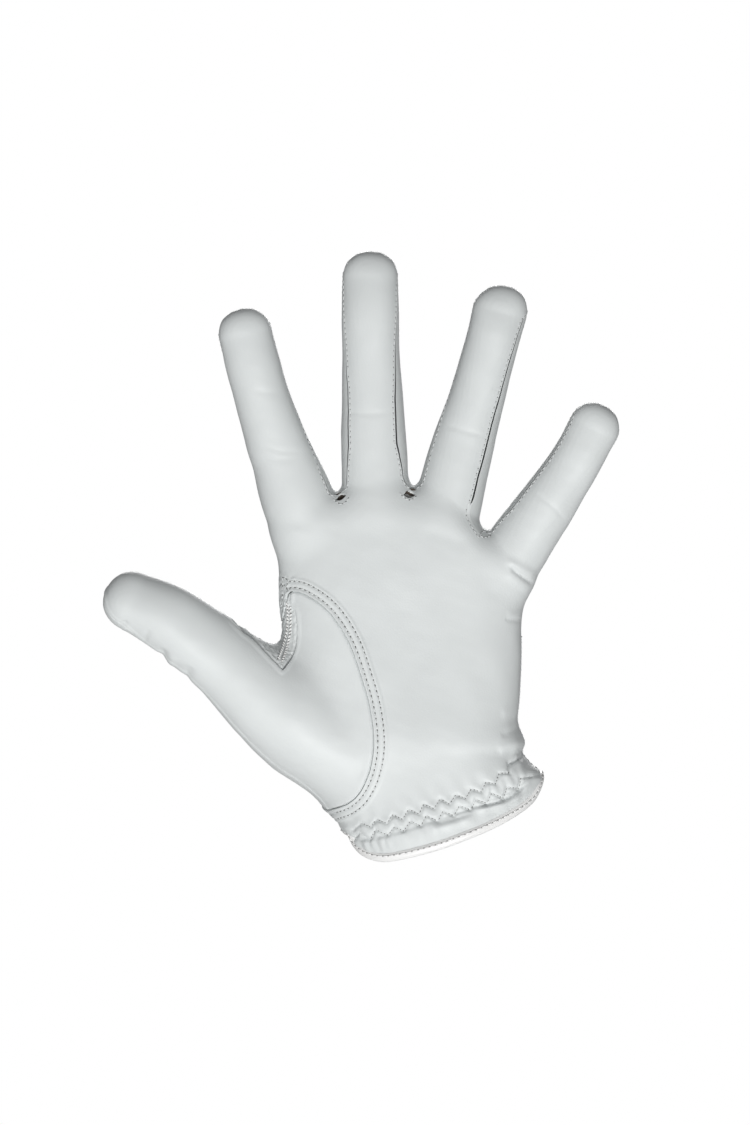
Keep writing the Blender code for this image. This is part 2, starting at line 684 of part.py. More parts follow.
def finger_joints(tube):
    pip, dip = tube.facts["joints"]
    half_splayed = (Vector((1, 0, 0)) + tube.sideways).normalized()
    knuckle = Joint(f"{tube.name}_knuckle", tube, KNUCKLE_RISE / tube.length, half_splayed, KNUCKLE_RANGE)
    middle = Joint(f"{tube.name}_middle_joint", tube, pip, tube.axes(pip)[1], MIDDLE_RANGE)
    last = Joint(f"{tube.name}_tip_joint", tube, dip, tube.axes(dip)[1], TIP_RANGE)
    return [knuckle, middle, last]


def thumb_joints(tube):
    names = ("thumb_knuckle", "thumb_tip_joint")
    return [Joint(name, tube, share, tube.axes(share)[1], turn)
            for name, share, turn in zip(names, tube.facts["joints"], THUMB_RANGES)]


for old in list(bpy.data.objects):
    bpy.data.objects.remove(old)

HINGES, ORIGINS = {}, {}
MATERIALS = {name: new_material(name) for name in COLOURS}
TUBES = {name: Tube(name, facts) for name, facts in FINGERS.items()}
THUMB_TUBE = Tube("thumb", THUMB, roll=THUMB_ROLL)
JOINTS = {name: finger_joints(tube) for name, tube in TUBES.items()}
JOINTS["thumb"] = thumb_joints(THUMB_TUBE)

add_hinge("hand", Vector((0, 0, 0)), None)
add_hinge("tab_hinge", tab_hinge_line()[0], "hand")
for chain in JOINTS.values():
    parent_name = "hand"
    for joint in chain:
        add_hinge(joint.name, joint.place, parent_name)
        parent_name = joint.name

make_body()
make_thumb_base(THUMB_TUBE)
make_webs(TUBES)
make_bindings()
make_tab()
for finger, tube in TUBES.items():
    make_finger(tube, JOINTS[finger])
make_thumb(THUMB_TUBE, JOINTS["thumb"])
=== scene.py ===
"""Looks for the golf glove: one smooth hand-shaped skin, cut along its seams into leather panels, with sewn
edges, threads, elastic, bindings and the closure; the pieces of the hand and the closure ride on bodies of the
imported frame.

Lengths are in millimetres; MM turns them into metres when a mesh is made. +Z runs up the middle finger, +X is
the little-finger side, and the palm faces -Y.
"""

import json
import math

import bpy
import numpy as np
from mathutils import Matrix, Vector
from mathutils.bvhtree import BVHTree


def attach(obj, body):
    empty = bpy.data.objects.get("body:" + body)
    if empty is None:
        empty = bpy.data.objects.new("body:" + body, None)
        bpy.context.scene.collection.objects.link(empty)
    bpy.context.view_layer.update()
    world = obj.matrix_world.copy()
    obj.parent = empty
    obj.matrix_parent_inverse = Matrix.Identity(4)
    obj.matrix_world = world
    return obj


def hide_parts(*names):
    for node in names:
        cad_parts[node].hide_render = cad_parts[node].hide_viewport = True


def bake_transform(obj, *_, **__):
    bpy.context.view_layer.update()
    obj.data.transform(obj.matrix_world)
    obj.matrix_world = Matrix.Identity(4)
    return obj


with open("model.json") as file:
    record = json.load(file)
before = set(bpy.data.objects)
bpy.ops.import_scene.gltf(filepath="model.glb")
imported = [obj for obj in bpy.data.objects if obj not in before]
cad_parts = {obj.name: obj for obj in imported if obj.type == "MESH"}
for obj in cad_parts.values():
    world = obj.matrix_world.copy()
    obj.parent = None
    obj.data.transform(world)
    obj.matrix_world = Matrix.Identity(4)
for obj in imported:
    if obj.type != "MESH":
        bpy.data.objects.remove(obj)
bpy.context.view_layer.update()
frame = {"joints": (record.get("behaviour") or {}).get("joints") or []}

MM = 0.001
STEP = 0.8
HANDS = ("index", "middle", "ring", "little")


# ---- small numeric helpers ---------------------------------------------------------------------------------
def unit(v):
    """Vectors at length 1."""
    return v / np.maximum(np.linalg.norm(v, axis=-1, keepdims=True), 1e-12)


def ease(x, low, high):
    """0 below low, 1 above high, and smooth between; it also runs backwards when high is below low."""
    t = np.clip((np.asarray(x, float) - low) / (high - low), 0, 1)
    return t * t * (3 - 2 * t)


def mix(a, b, t):
    return a + (b - a) * t


def through(rows, count):
    """A smooth curve through rows of numbers, sampled at count places evenly spaced by row."""
    rows = np.asarray(rows, float)
    padded = np.vstack([2 * rows[0] - rows[1], rows, 2 * rows[-1] - rows[-2]])
    place = np.linspace(0, len(rows) - 1, count)
    i = np.minimum(place.astype(int), len(rows) - 2)
    f = (place - i)[:, None]
    p0, p1, p2, p3 = (padded[i + k] for k in range(4))
    return 0.5 * (2 * p1 + (p2 - p0) * f + (2 * p0 - 5 * p1 + 4 * p2 - p3) * f**2
                  + (3 * p1 - p0 - 3 * p2 + p3) * f**3)


def curve_at(points, x, count=200):
    """The second column of a smooth curve through points, read at x along the first column."""
    fine = through(points, count)
    return np.interp(x, fine[:, 0], fine[:, 1])


def lengths_along(points):
    """How far along a line each of its points is."""
    return np.concatenate([[0], np.cumsum(np.linalg.norm(np.diff(points, axis=0), axis=1))])


def read_columns(table, at, places):
    """Each column of a table, read between its rows."""
    return np.stack([np.interp(places, at, column) for column in table.T], 1)


def waves(p, length, seed, number=9):
    """A smooth random field with features about this long, from -1 to 1."""
    rng = np.random.default_rng(seed)
    turn = unit(rng.normal(size=(number, 3))) * (2 * math.pi / length) * rng.uniform(0.6, 1.5, (number, 1))
    return np.sin(p @ turn.T + rng.uniform(0, 7, number)).sum(1) / number**0.5 / 1.6


def smooth_min(a, b, width):
    """The lower of two fields, with the join between them rounded over this width."""
    near = np.maximum(width - np.abs(a - b), 0) / width
    return np.minimum(a, b) - near * near * width / 4


# ---- the form: limbs ----------------------------------------------------------------------------------------
class Limb:
    """A finger or the thumb: half widths and half depths along a curved centre line, with a domed tip."""

    def __init__(self, rows, dome, roll=0.0, samples=44):
        self.dome = dome
        fine = through(rows, samples)
        self.centre, self.width, self.depth = fine[:, :3], fine[:, 3], fine[:, 4]
        self.along = lengths_along(self.centre)
        self.length = self.along[-1]
        self.run = unit(np.gradient(self.centre, self.along, axis=0))
        side = np.stack([self.run[:, 2], np.full(samples, roll), -self.run[:, 0]], 1)
        self.side = unit(side - self.run * (side * self.run).sum(1, keepdims=True))
        self.back = np.cross(self.run, self.side)

    def read(self, table, s):
        return np.interp(s, self.along, table) if table.ndim == 1 else read_columns(table, self.along, s)

    def locate(self, p):
        """Where points are along the limb (s), and off it: to its side (a), its back (b) and past its end (e)."""
        near = np.argmin(-2 * p @ self.centre.T + (self.centre**2).sum(1), axis=1)
        s = self.along[near]
        for _ in range(2):
            off = p - self.read(self.centre, s)
            s = np.clip(s + (off * self.read(self.run, s)).sum(1), 0, self.length)
        off = p - self.read(self.centre, s)
        a = (off * unit(self.read(self.side, s))).sum(1)
        b = (off * unit(self.read(self.back, s))).sum(1)
        e = (off * unit(self.read(self.run, s))).sum(1)
        return s, a, b, e

    def field(self, p):
        """Roughly the distance from the limb's surface, negative inside."""
        found = np.full(len(p), 40.0)
        reach = 24.0
        near = ((p > self.centre.min(0) - reach) & (p < self.centre.max(0) + reach)).all(1)
        if not near.any():
            return found
        q = p[near]
        s, a, b, e = self.locate(q)
        w, d = self.read(self.width, s), self.read(self.depth, s)
        cap = np.where(e > 0, self.dome, w)
        power = 2.15
        ring = (np.abs(a / w) ** power + np.abs(b / d) ** power + np.abs(e / cap) ** power) ** (1 / power)
        found[near] = np.sqrt(a * a + b * b + e * e) * (1 - 1 / np.maximum(ring, 1e-3))
        return found


# Rows of x, y, z, half width and half depth, from the root to the middle of the domed tip.
LIMBS = {
    "index": Limb([(-48.5, 0.5, 103.0, 12.4, 12.0), (-52.6, -0.6, 114.5, 12.2, 11.2),
                   (-56.2, -1.8, 124.9, 11.0, 10.2), (-58.9, -2.8, 131.8, 10.5, 9.6),
                   (-63.3, -4.4, 145.6, 9.5, 8.8), (-66.9, -6.2, 158.0, 9.4, 8.3),
                   (-69.3, -7.2, 167.7, 9.0, 7.0)], 9.2),
    "middle": Limb([(-24.6, 0.8, 107.0, 11.6, 12.0), (-24.7, 0.2, 118.0, 11.4, 11.3),
                    (-25.2, -0.9, 130.0, 11.3, 10.4), (-25.8, -2.0, 147.0, 10.4, 9.6),
                    (-26.3, -3.2, 162.0, 9.8, 8.9), (-26.4, -4.4, 176.0, 9.6, 8.3),
                    (-26.5, -4.8, 187.4, 9.4, 7.0)], 9.4),
    "ring": Limb([(-1.2, 0.5, 103.0, 11.6, 11.8), (1.8, -0.4, 116.0, 11.2, 11.0),
                  (5.6, -1.6, 130.5, 10.8, 10.0), (9.6, -2.9, 144.0, 9.7, 9.3),
                  (13.4, -4.4, 157.5, 9.1, 8.6), (16.4, -5.7, 168.5, 9.0, 8.1),
                  (18.1, -6.2, 175.6, 9.2, 6.9)], 9.3),
    "little": Limb([(20.0, -0.8, 88.0, 11.2, 11.0), (27.4, -2.4, 99.5, 10.7, 10.0),
                    (34.4, -4.0, 109.4, 10.0, 9.2), (40.2, -5.5, 118.2, 9.2, 8.4),
                    (45.5, -7.2, 127.0, 8.7, 7.6), (50.1, -8.4, 135.6, 8.7, 6.4)], 8.6),
}
THUMB = Limb([(-36.0, -2.0, 15.5, 9.4, 14.5), (-50.2, -5.5, 28.6, 13.0, 17.0),
              (-63.0, -8.5, 42.9, 14.8, 14.2), (-76.7, -11.0, 55.9, 13.0, 11.8),
              (-89.6, -13.2, 66.3, 12.0, 10.6), (-98.6, -14.2, 72.0, 11.3, 9.7),
              (-107.3, -14.6, 76.1, 10.3, 8.2)], 10.2, roll=0.45)

# Body outlines: z against the thumb-side edge, the little-finger-side edge, and the depths to palm and back.
LEFT_EDGE = [(-22, -32.5), (-14, -33.0), (-8, -33.6), (-3, -35.0), (2, -36.6), (12, -40.0), (26, -45.2),
             (42, -50.2), (58, -54.8), (70, -56.8), (82, -57.6), (95, -58.6), (110, -60.5)]
RIGHT_EDGE = [(-22, 29.5), (-8, 30.5), (2, 31.6), (8, 32.8), (13, 33.4), (17, 32.2), (20.5, 28.4), (24, 25.9),
              (27.5, 26.6), (31.5, 25.3), (36, 24.3), (43, 25.0), (57, 25.6), (69, 25.8), (78, 27.4),
              (84, 29.2), (92, 32.5), (110, 35.0)]
PALM_DEPTH = [(-22, 22.5), (-6, 22.0), (6, 20.5), (18, 19.8), (30, 20.2), (44, 19.2), (60, 17.6), (78, 15.8),
              (94, 14.0), (110, 12.4)]
BACK_DEPTH = [(-22, 21.5), (-6, 20.5), (14, 19.0), (30, 18.2), (50, 17.0), (70, 15.8), (94, 13.8), (110, 12.2)]
# The palm's upper edge, below the fingers' roots: x against z.
KNUCKLES = [(-66, 97), (-50, 100.5), (-37, 101.5), (-24, 104.5), (-13, 102.5), (1, 99), (12, 89.5), (22, 84),
            (40, 74)]


def body_field(p):
    """Roughly the distance from the surface of the palm and wrist, negative inside."""
    x, y, z = p.T
    left, right = curve_at(LEFT_EDGE, z), curve_at(RIGHT_EDGE, z)
    centre, half = (left + right) / 2, (right - left) / 2
    depth = np.where(y < 0, curve_at(PALM_DEPTH, z), curve_at(BACK_DEPTH, z))
    over = np.maximum(z - np.interp(x, *np.array(KNUCKLES, float).T), 0)
    power = 2.5
    ring = np.abs((x - centre) / half) ** power + np.abs(y / depth) ** power + (over / 13) ** power
    ring = ring ** (1 / power)
    hollow = 2.2 * np.exp(-(((x + 8) / 20) ** 2) - ((z - 58) / 24) ** 2) * (y < 0)
    return np.sqrt((x - centre) ** 2 + y * y + over * over) * (1 - 1 / np.maximum(ring, 1e-3)) + hollow


def form(p):
    """The glove form: negative inside."""
    fingers = LIMBS["index"].field(p)
    for name in HANDS[1:]:
        fingers = smooth_min(fingers, LIMBS[name].field(p), 1.2)
    body = smooth_min(body_field(p), THUMB.field(p), 13.0)
    return smooth_min(body, fingers, 5.0)


def form_normal(p, size=0.25):
    """The form's slope, from its values this far to each side."""
    found = np.empty_like(p)
    for k in range(3):
        shift = np.zeros(3)
        shift[k] = size
        found[:, k] = form(p + shift) - form(p - shift)
    return found / (2 * size)


def settle(p, rounds=3):
    """Moves points onto the form's surface and returns them with the surface's normals."""
    for _ in range(rounds):
        slope = form_normal(p)
        steep = np.maximum((slope**2).sum(1), 0.05)
        p = p - slope * np.clip(form(p) / steep, -1.5, 1.5)[:, None]
    return p, unit(form_normal(p))


# ---- the form as a mesh -------------------------------------------------------------------------------------
def grid_values(low, high, step):
    """The form on a grid, worked out closely only near the surface."""
    block = 4
    count = np.ceil((high - low) / (step * block)).astype(int)
    axes = [low[k] + (np.arange(count[k]) * block + (block - 1) / 2) * step for k in range(3)]
    coarse = np.stack(np.meshgrid(*axes, indexing="ij"), -1).reshape(-1, 3)
    rough = form(coarse).reshape(count)
    values = rough.astype(np.float32)
    near = np.abs(rough) < step * block * 1.4 + 0.6
    for k in range(3):
        values, near = np.repeat(values, block, k), np.repeat(near, block, k)
    cells = np.argwhere(near)
    found = np.empty(len(cells), np.float32)
    for start in range(0, len(cells), 200000):
        part = cells[start:start + 200000]
        found[start:start + 200000] = form(low + part * step)
    values[near] = found
    return values


def net(values, low, step):
    """Points and quads of the surface where values cross zero, one point for each cell that it crosses."""
    inside = values < 0
    corners = [(i, j, k) for i in (0, 1) for j in (0, 1) for k in (0, 1)]
    shape = np.array(values.shape) - 1

    def corner(array, offset):
        return array[tuple(slice(o, o + n) for o, n in zip(offset, shape))]

    total = sum(corner(inside, c).astype(np.int8) for c in corners)
    crossed = (total > 0) & (total < 8)
    cells = np.argwhere(crossed)
    number = np.full(crossed.shape, -1, np.int64)
    number[crossed] = np.arange(len(cells))
    place, hits = np.zeros((len(cells), 3)), np.zeros(len(cells))
    for first in corners:
        for axis in range(3):
            if first[axis]:
                continue
            second = tuple(1 if k == axis else first[k] for k in range(3))
            a = values[tuple((cells + first).T)].astype(float)
            b = values[tuple((cells + second).T)].astype(float)
            cross = (a < 0) != (b < 0)
            share = np.where(cross, a / np.where(cross, a - b, 1), 0)
            spot = cells + np.array(first, float)
            spot[:, axis] += share
            place[cross] += spot[cross]
            hits[cross] += 1
    quads = []
    for axis in range(3):
        u, v = (axis + 1) % 3, (axis + 2) % 3
        a = np.moveaxis(inside, axis, 0)[:-1]
        b = np.moveaxis(inside, axis, 0)[1:]
        edges = np.argwhere(np.moveaxis(a != b, 0, axis))
        edges = edges[(edges[:, u] > 0) & (edges[:, v] > 0)]
        edges = edges[(edges[:, u] < values.shape[u] - 1) & (edges[:, v] < values.shape[v] - 1)]
        leaving = inside[tuple(edges.T)]
        ring = []
        for du, dv in ((1, 1), (0, 1), (0, 0), (1, 0)):
            cell = edges.copy()
            cell[:, u] -= du
            cell[:, v] -= dv
            ring.append(number[tuple(cell.T)])
        ring = np.stack(ring, 1)
        quads.append(np.where(leaving[:, None], ring, ring[:, ::-1]))
    return low + place / hits[:, None] * step, np.concatenate(quads)


class Skin:
    """Triangles with points, normals and named numbers at each point."""

    def __init__(self, points, normals, faces, facts):
        self.points, self.normals, self.faces, self.facts = points, normals, faces, facts

    def tidy(self):
        """The same skin without the points that no triangle uses."""
        used, index = np.unique(self.faces, return_inverse=True)
        return Skin(self.points[used], self.normals[used], index.reshape(-1, 3),
                    {k: v[used] for k, v in self.facts.items()})

    def where(self, keep):
        """The triangles whose corners all satisfy keep."""
        return Skin(self.points, self.normals, self.faces[keep[self.faces].all(1)], self.facts).tidy()

    def crossed(self, level):
        """Where a level's zero line cuts the triangles: the number of corners inside for every triangle and for
        each cut one, the cut ones turned so that their odd corner comes first, the pairs of points that are cut
        apart, the share of the way between them, and each cut triangle's two pairs."""
        inside = level > 0
        count = inside[self.faces].sum(1)
        split = self.faces[(count == 1) | (count == 2)]
        if not len(split):
            return count, None
        number = inside[split].sum(1)
        odd = np.where(number == 1, inside[split].argmax(1), inside[split].argmin(1))
        turned = split[np.arange(len(split))[:, None], (odd[:, None] + np.arange(3)) % 3]
        pairs = np.sort(np.concatenate([turned[:, [0, 1]], turned[:, [0, 2]]]), 1)
        pairs, index = np.unique(pairs, axis=0, return_inverse=True)
        a, b = level[pairs[:, 0]], level[pairs[:, 1]]
        return count, (number, turned, pairs, a / (a - b), index.reshape(2, -1))

    def above(self, level):
        """The part where level is positive, cut exactly along its zero line."""
        count, cut = self.crossed(np.where(np.abs(level) < 1e-3, 1e-3, level))
        if not cut:
            return Skin(self.points, self.normals, self.faces[count == 3], self.facts).tidy()
        number, turned, pairs, share, index = cut

        def grow(values):
            t = share if values.ndim == 1 else share[:, None]
            return np.concatenate([values, values[pairs[:, 0]] * (1 - t) + values[pairs[:, 1]] * t])

        points, normals = grow(self.points), unit(grow(self.normals))
        facts = {k: grow(v) for k, v in self.facts.items()}
        first, second = index + len(self.points)
        one, two = number == 1, number == 2
        faces = [self.faces[count == 3],
                 np.stack([turned[one, 0], first[one], second[one]], 1),
                 np.stack([first[two], turned[two, 1], turned[two, 2]], 1),
                 np.stack([first[two], turned[two, 2], second[two]], 1)]
        return Skin(points, normals, np.concatenate(faces), facts).tidy()

    def rim(self):
        """Directed edges that only one triangle has."""
        ends = np.concatenate([self.faces[:, [0, 1]], self.faces[:, [1, 2]], self.faces[:, [2, 0]]])
        key = np.sort(ends, 1)
        _, index, count = np.unique(key, axis=0, return_inverse=True, return_counts=True)
        return ends[count[index.reshape(-1)] == 1]

    def with_normals(self):
        """The same skin with normals from its triangles."""
        corner = self.points[self.faces]
        face = np.cross(corner[:, 1] - corner[:, 0], corner[:, 2] - corner[:, 0])
        total = np.zeros_like(self.points)
        for k in range(3):
            np.add.at(total, self.faces[:, k], face)
        flat = np.linalg.norm(total, axis=1) < 1e-9
        total[flat] = self.normals[flat]
        return Skin(self.points, unit(total), self.faces, self.facts)

    def lines(self, level, least):
        """Lines where level is zero, if they are at least this long: lists of points and normals, in order."""
        _, cut = self.crossed(np.where(np.abs(level) < 1e-6, 1e-6, level))
        if not cut:
            return []
        _, _, pairs, share, index = cut
        t = share[:, None]
        points = self.points[pairs[:, 0]] * (1 - t) + self.points[pairs[:, 1]] * t
        normals = unit(self.normals[pairs[:, 0]] * (1 - t) + self.normals[pairs[:, 1]] * t)
        beside = {}
        for i, j in index.T.tolist():
            beside.setdefault(i, []).append(j)
            beside.setdefault(j, []).append(i)
        found, seen = [], set()
        ends = [i for i, near in beside.items() if len(near) == 1]
        for start in ends + list(beside):
            if start in seen:
                continue
            chain, here = [start], start
            seen.add(start)
            while True:
                onward = [j for j in beside[here] if j not in seen]
                if not onward:
                    break
                here = onward[0]
                seen.add(here)
                chain.append(here)
            if len(chain) > 3 and chain[0] in beside[chain[-1]]:
                chain.append(chain[0])
            spots = points[chain]
            if len(chain) > 3 and np.linalg.norm(np.diff(spots, axis=0), axis=1).sum() > least:
                found.append((spots, normals[chain]))
        return found


def refine(points, faces, wanted):
    """Splits in half each edge that is wanted, and the triangles beside it."""
    ends = np.concatenate([faces[:, [0, 1]], faces[:, [1, 2]], faces[:, [2, 0]]])
    pairs, index = np.unique(np.sort(ends, 1), axis=0, return_inverse=True)
    index = index.reshape(3, -1).T
    chosen = wanted[pairs].any(1)
    new = np.full(len(pairs), -1)
    new[chosen] = len(points) + np.arange(chosen.sum())
    points = np.concatenate([points, points[pairs[chosen]].mean(1)])
    middle = new[index]
    made = middle >= 0
    count = made.sum(1)
    out = [faces[count == 0]]
    a, b, c = faces[count == 3].T
    ab, bc, ca = middle[count == 3].T
    out += [np.stack(t, 1) for t in ((a, ab, ca), (ab, b, bc), (ca, bc, c), (ab, bc, ca))]
    for number in (1, 2):
        some = count == number
        odd = made[some].argmax(1) if number == 1 else (made[some].argmin(1) + 1) % 3
        turn = (odd[:, None] + np.arange(3)) % 3
        rows = np.arange(some.sum())[:, None]
        a, b, c = faces[some][rows, turn].T
        ab, bc, _ = middle[some][rows, turn].T
        if number == 1:
            out += [np.stack([a, ab, c], 1), np.stack([ab, b, c], 1)]
        else:
            out += [np.stack([ab, b, bc], 1), np.stack([a, ab, bc], 1), np.stack([a, bc, c], 1)]
    return points, np.concatenate(out)


# ---- where the seams run ------------------------------------------------------------------------------------
def outline_distance(x, z, outline):
    """Distance from a closed outline in the plane of the palm, positive inside it."""
    loop = np.vstack([outline, outline[:1]])
    p = np.stack([x, z], 1)
    best, inside = np.full(len(p), 1e9), np.zeros(len(p), bool)
    for (x0, z0), (x1, z1) in zip(loop[:-1], loop[1:]):
        run = np.array([x1 - x0, z1 - z0])
        t = np.clip(((p - (x0, z0)) @ run) / max(run @ run, 1e-9), 0, 1)
        best = np.minimum(best, np.linalg.norm(p - (x0, z0) - t[:, None] * run, axis=1))
        if z0 != z1:
            level = (z0 > p[:, 1]) != (z1 > p[:, 1])
            inside ^= level & (p[:, 0] < (x1 - x0) * (p[:, 1] - z0) / (z1 - z0) + x0)
    return np.where(inside, best, -best)


# Outlines in the palm's plane, in x and z: the thumb piece, the sewn band round it, and the quirk in the crotch.
# Where they run outside the glove they only close the loop.
OUTSIDE_LOW = [(-50.7, -6.2), (-119.7, -6.2), (-133.5, 76.6)]
THENAR_CREASE = through([(-57.8, 68.2), (-56.7, 70.8), (-56.0, 74.0), (-55.2, 77.5), (-53.6, 79.6),
                         (-51.4, 79.6), (-49.2, 79.0), (-46.9, 77.8), (-43.6, 75.7), (-40.4, 72.8),
                         (-37.5, 69.2), (-35.2, 65.6), (-32.2, 59.5), (-28.9, 49.5), (-26.6, 41.4),
                         (-25.2, 32.8), (-25.1, 25.0), (-26.7, 17.2), (-29.9, 10.6), (-33.9, 6.8),
                         (-38.6, 4.9), (-43.1, 3.4)], 160)
BACK_CREASE = through([(-57.8, 68.2), (-54.0, 71.0), (-51.2, 68.0), (-49.0, 56.0), (-46.8, 40.0), (-44.6, 22.0),
                       (-42.6, 10.0), (-43.1, 3.4)], 90)
OUTSIDE_HIGH, CROTCH = (-119.7, 97.3), [(-66.0, 85.0), (-61.5, 69.0), (-59.2, 67.2)]
THUMB_OUTLINE = np.array([*CROTCH, *THENAR_CREASE, *OUTSIDE_LOW, OUTSIDE_HIGH])
THUMB_OUTLINE_BACK = np.array([*CROTCH, *BACK_CREASE, *OUTSIDE_LOW, OUTSIDE_HIGH])
# The sewn band runs round the thumb piece, but over the crotch it leaves the crease, after its first 24 points.
BAND_OUTLINE = np.array([(-66.0, 84.5), (-60.0, 82.0), (-56.6, 80.8), *THENAR_CREASE[24:],
                         *OUTSIDE_LOW, OUTSIDE_HIGH])
QUIRK_EDGE = through([(-53.2, 80.2), (-53.5, 77.6), (-53.5, 75.1), (-52.0, 72.8), (-51.4, 69.5), (-51.2, 65.9),
                      (-51.4, 61.1), (-52.8, 56.9), (-56.6, 52.1)], 50)
WEB_EDGE = through([(-56.6, 52.1), (-60.6, 56.5), (-64.4, 60.6), (-66.8, 63.1), (-69.6, 65.1)], 16)
QUIRK_OUTLINE = np.array([(-74.0, 82.0), *QUIRK_EDGE, *WEB_EDGE, (-76.0, 72.0)])
QUIRK_BACK = np.array([(-74.0, 82.0), (-53.2, 80.2), (-54.4, 74.0), (-55.0, 66.5), (-55.6, 61.0), (-58.6, 56.5),
                       (-62.5, 58.2), (-66.0, 62.0), (-69.6, 65.1), (-76.0, 72.0)])
# The cuff's rim: x against z, on the palm side and on the back.
RIM_FRONT = [(-50, -1.6), (-34.4, -3.0), (-32.8, -6.0), (-30.4, -8.4), (-27.5, -10.0), (-23.0, -11.0),
             (-18.0, -10.5), (-5.0, -7.2), (5.0, -3.7), (14.0, -0.1), (21.0, 3.3), (27.0, 6.9), (29.5, 8.8),
             (31.2, 11.6), (32.4, 14.6), (34.0, 17.5), (50, 20.0)]
RIM_BACK = [(-50, -4.0), (-34, -2.2), (-15, 5.0), (0, 10.0), (18, 14.0), (26, 15.8), (33, 17.4), (50, 18.5)]
# The V-shaped slit in the back: its middle, where it starts and ends, and its half width at the start.
SLIT_X, SLIT_BASE, SLIT_TOP, SLIT_HALF = -3.0, 4.0, 44.0, 6.5
# Where a side strip's back edge and a wrapped panel's edge lie, as shares of the finger's half depth.
STRIP_SHARE, WRAP_SHARE = 0.56, 0.60
# How far from the edge the stitches run: the two rows round the thumb piece, and the row on the fingers.
BAND_ROWS, ROW = (1.15, 3.35), 0.62
# The place at each finger's root where its own panels start, in x and z.
FORKS = {"index": (-36.6, 112.0), "middle": (-24.8, 113.0), "ring": (-13.1, 113.0), "little": (12.9, 100.6)}
# Whether a finger has a side strip on its thumb side, and on its little-finger side.
STRIPS = {"index": (0, 1), "middle": (1, 1), "ring": (1, 1), "little": (1, 0)}
# How far each side strip's palm-side edge lies in front of the finger's middle: at a share of the finger's
# length, a share of its half depth.
STRIP_FRONTS = {
    ("index", 1): [(0, 0.56), (0.12, 0.54), (0.28, 0.28), (0.45, 0.10), (0.93, 0.0)],
    ("middle", 0): [(0, 0.52), (0.06, 0.58), (0.2, 0.70), (0.42, 0.66), (0.63, 0.47), (0.84, 0.2), (0.96, 0.0)],
    ("middle", 1): [(0, 0.56), (0.06, 0.62), (0.2, 0.78), (0.38, 0.75), (0.58, 0.60), (0.84, 0.36),
                    (0.96, 0.0)],
    ("ring", 0): [(0, 0.52), (0.1, 0.48), (0.3, 0.40), (0.42, 0.2), (0.55, 0.08), (0.95, 0.0)],
    ("ring", 1): [(0, 0.82), (0.09, 0.80), (0.2, 0.76), (0.46, 0.73), (0.69, 0.65), (0.89, 0.5), (0.97, 0.0)],
    ("little", 0): [(0, 0.60), (0.1, 0.57), (0.3, 0.54), (0.6, 0.50), (0.8, 0.42), (0.92, 0.22), (0.97, 0.0)],
}
# The forks on each finger's two sides.
SIDE_FORKS = {"index": (FORKS["index"], FORKS["index"]), "middle": (FORKS["index"], FORKS["ring"]),
              "ring": (FORKS["ring"], FORKS["little"]), "little": (FORKS["little"], FORKS["little"])}
# The small gaps left where the side strips meet the palm leather: middle, half length, half height and slope.
FORK_HOLES = (((-36.5, 111.9), 2.0, 1.15, 0.42), ((-13.0, 112.9), 2.2, 1.4, 0.0))
# How far along a finger its panels start, and its two forks lie.
LINE_STARTS, SIDE_STARTS = {}, {}
for name, (fork_x, fork_z) in FORKS.items():
    LINE_STARTS[name] = float(LIMBS[name].locate(np.array([[fork_x, 0.0, fork_z]]))[0][0]) + 1.2
    SIDE_STARTS[name] = [LIMBS[name].locate(np.array([[a, 0.0, b]]))[0][0] for a, b in SIDE_FORKS[name]]


def slit_half(z):
    """The half width of the slit at this height."""
    return SLIT_HALF * np.clip(1 - (z - SLIT_BASE) / (SLIT_TOP - SLIT_BASE), -1, 1.4)


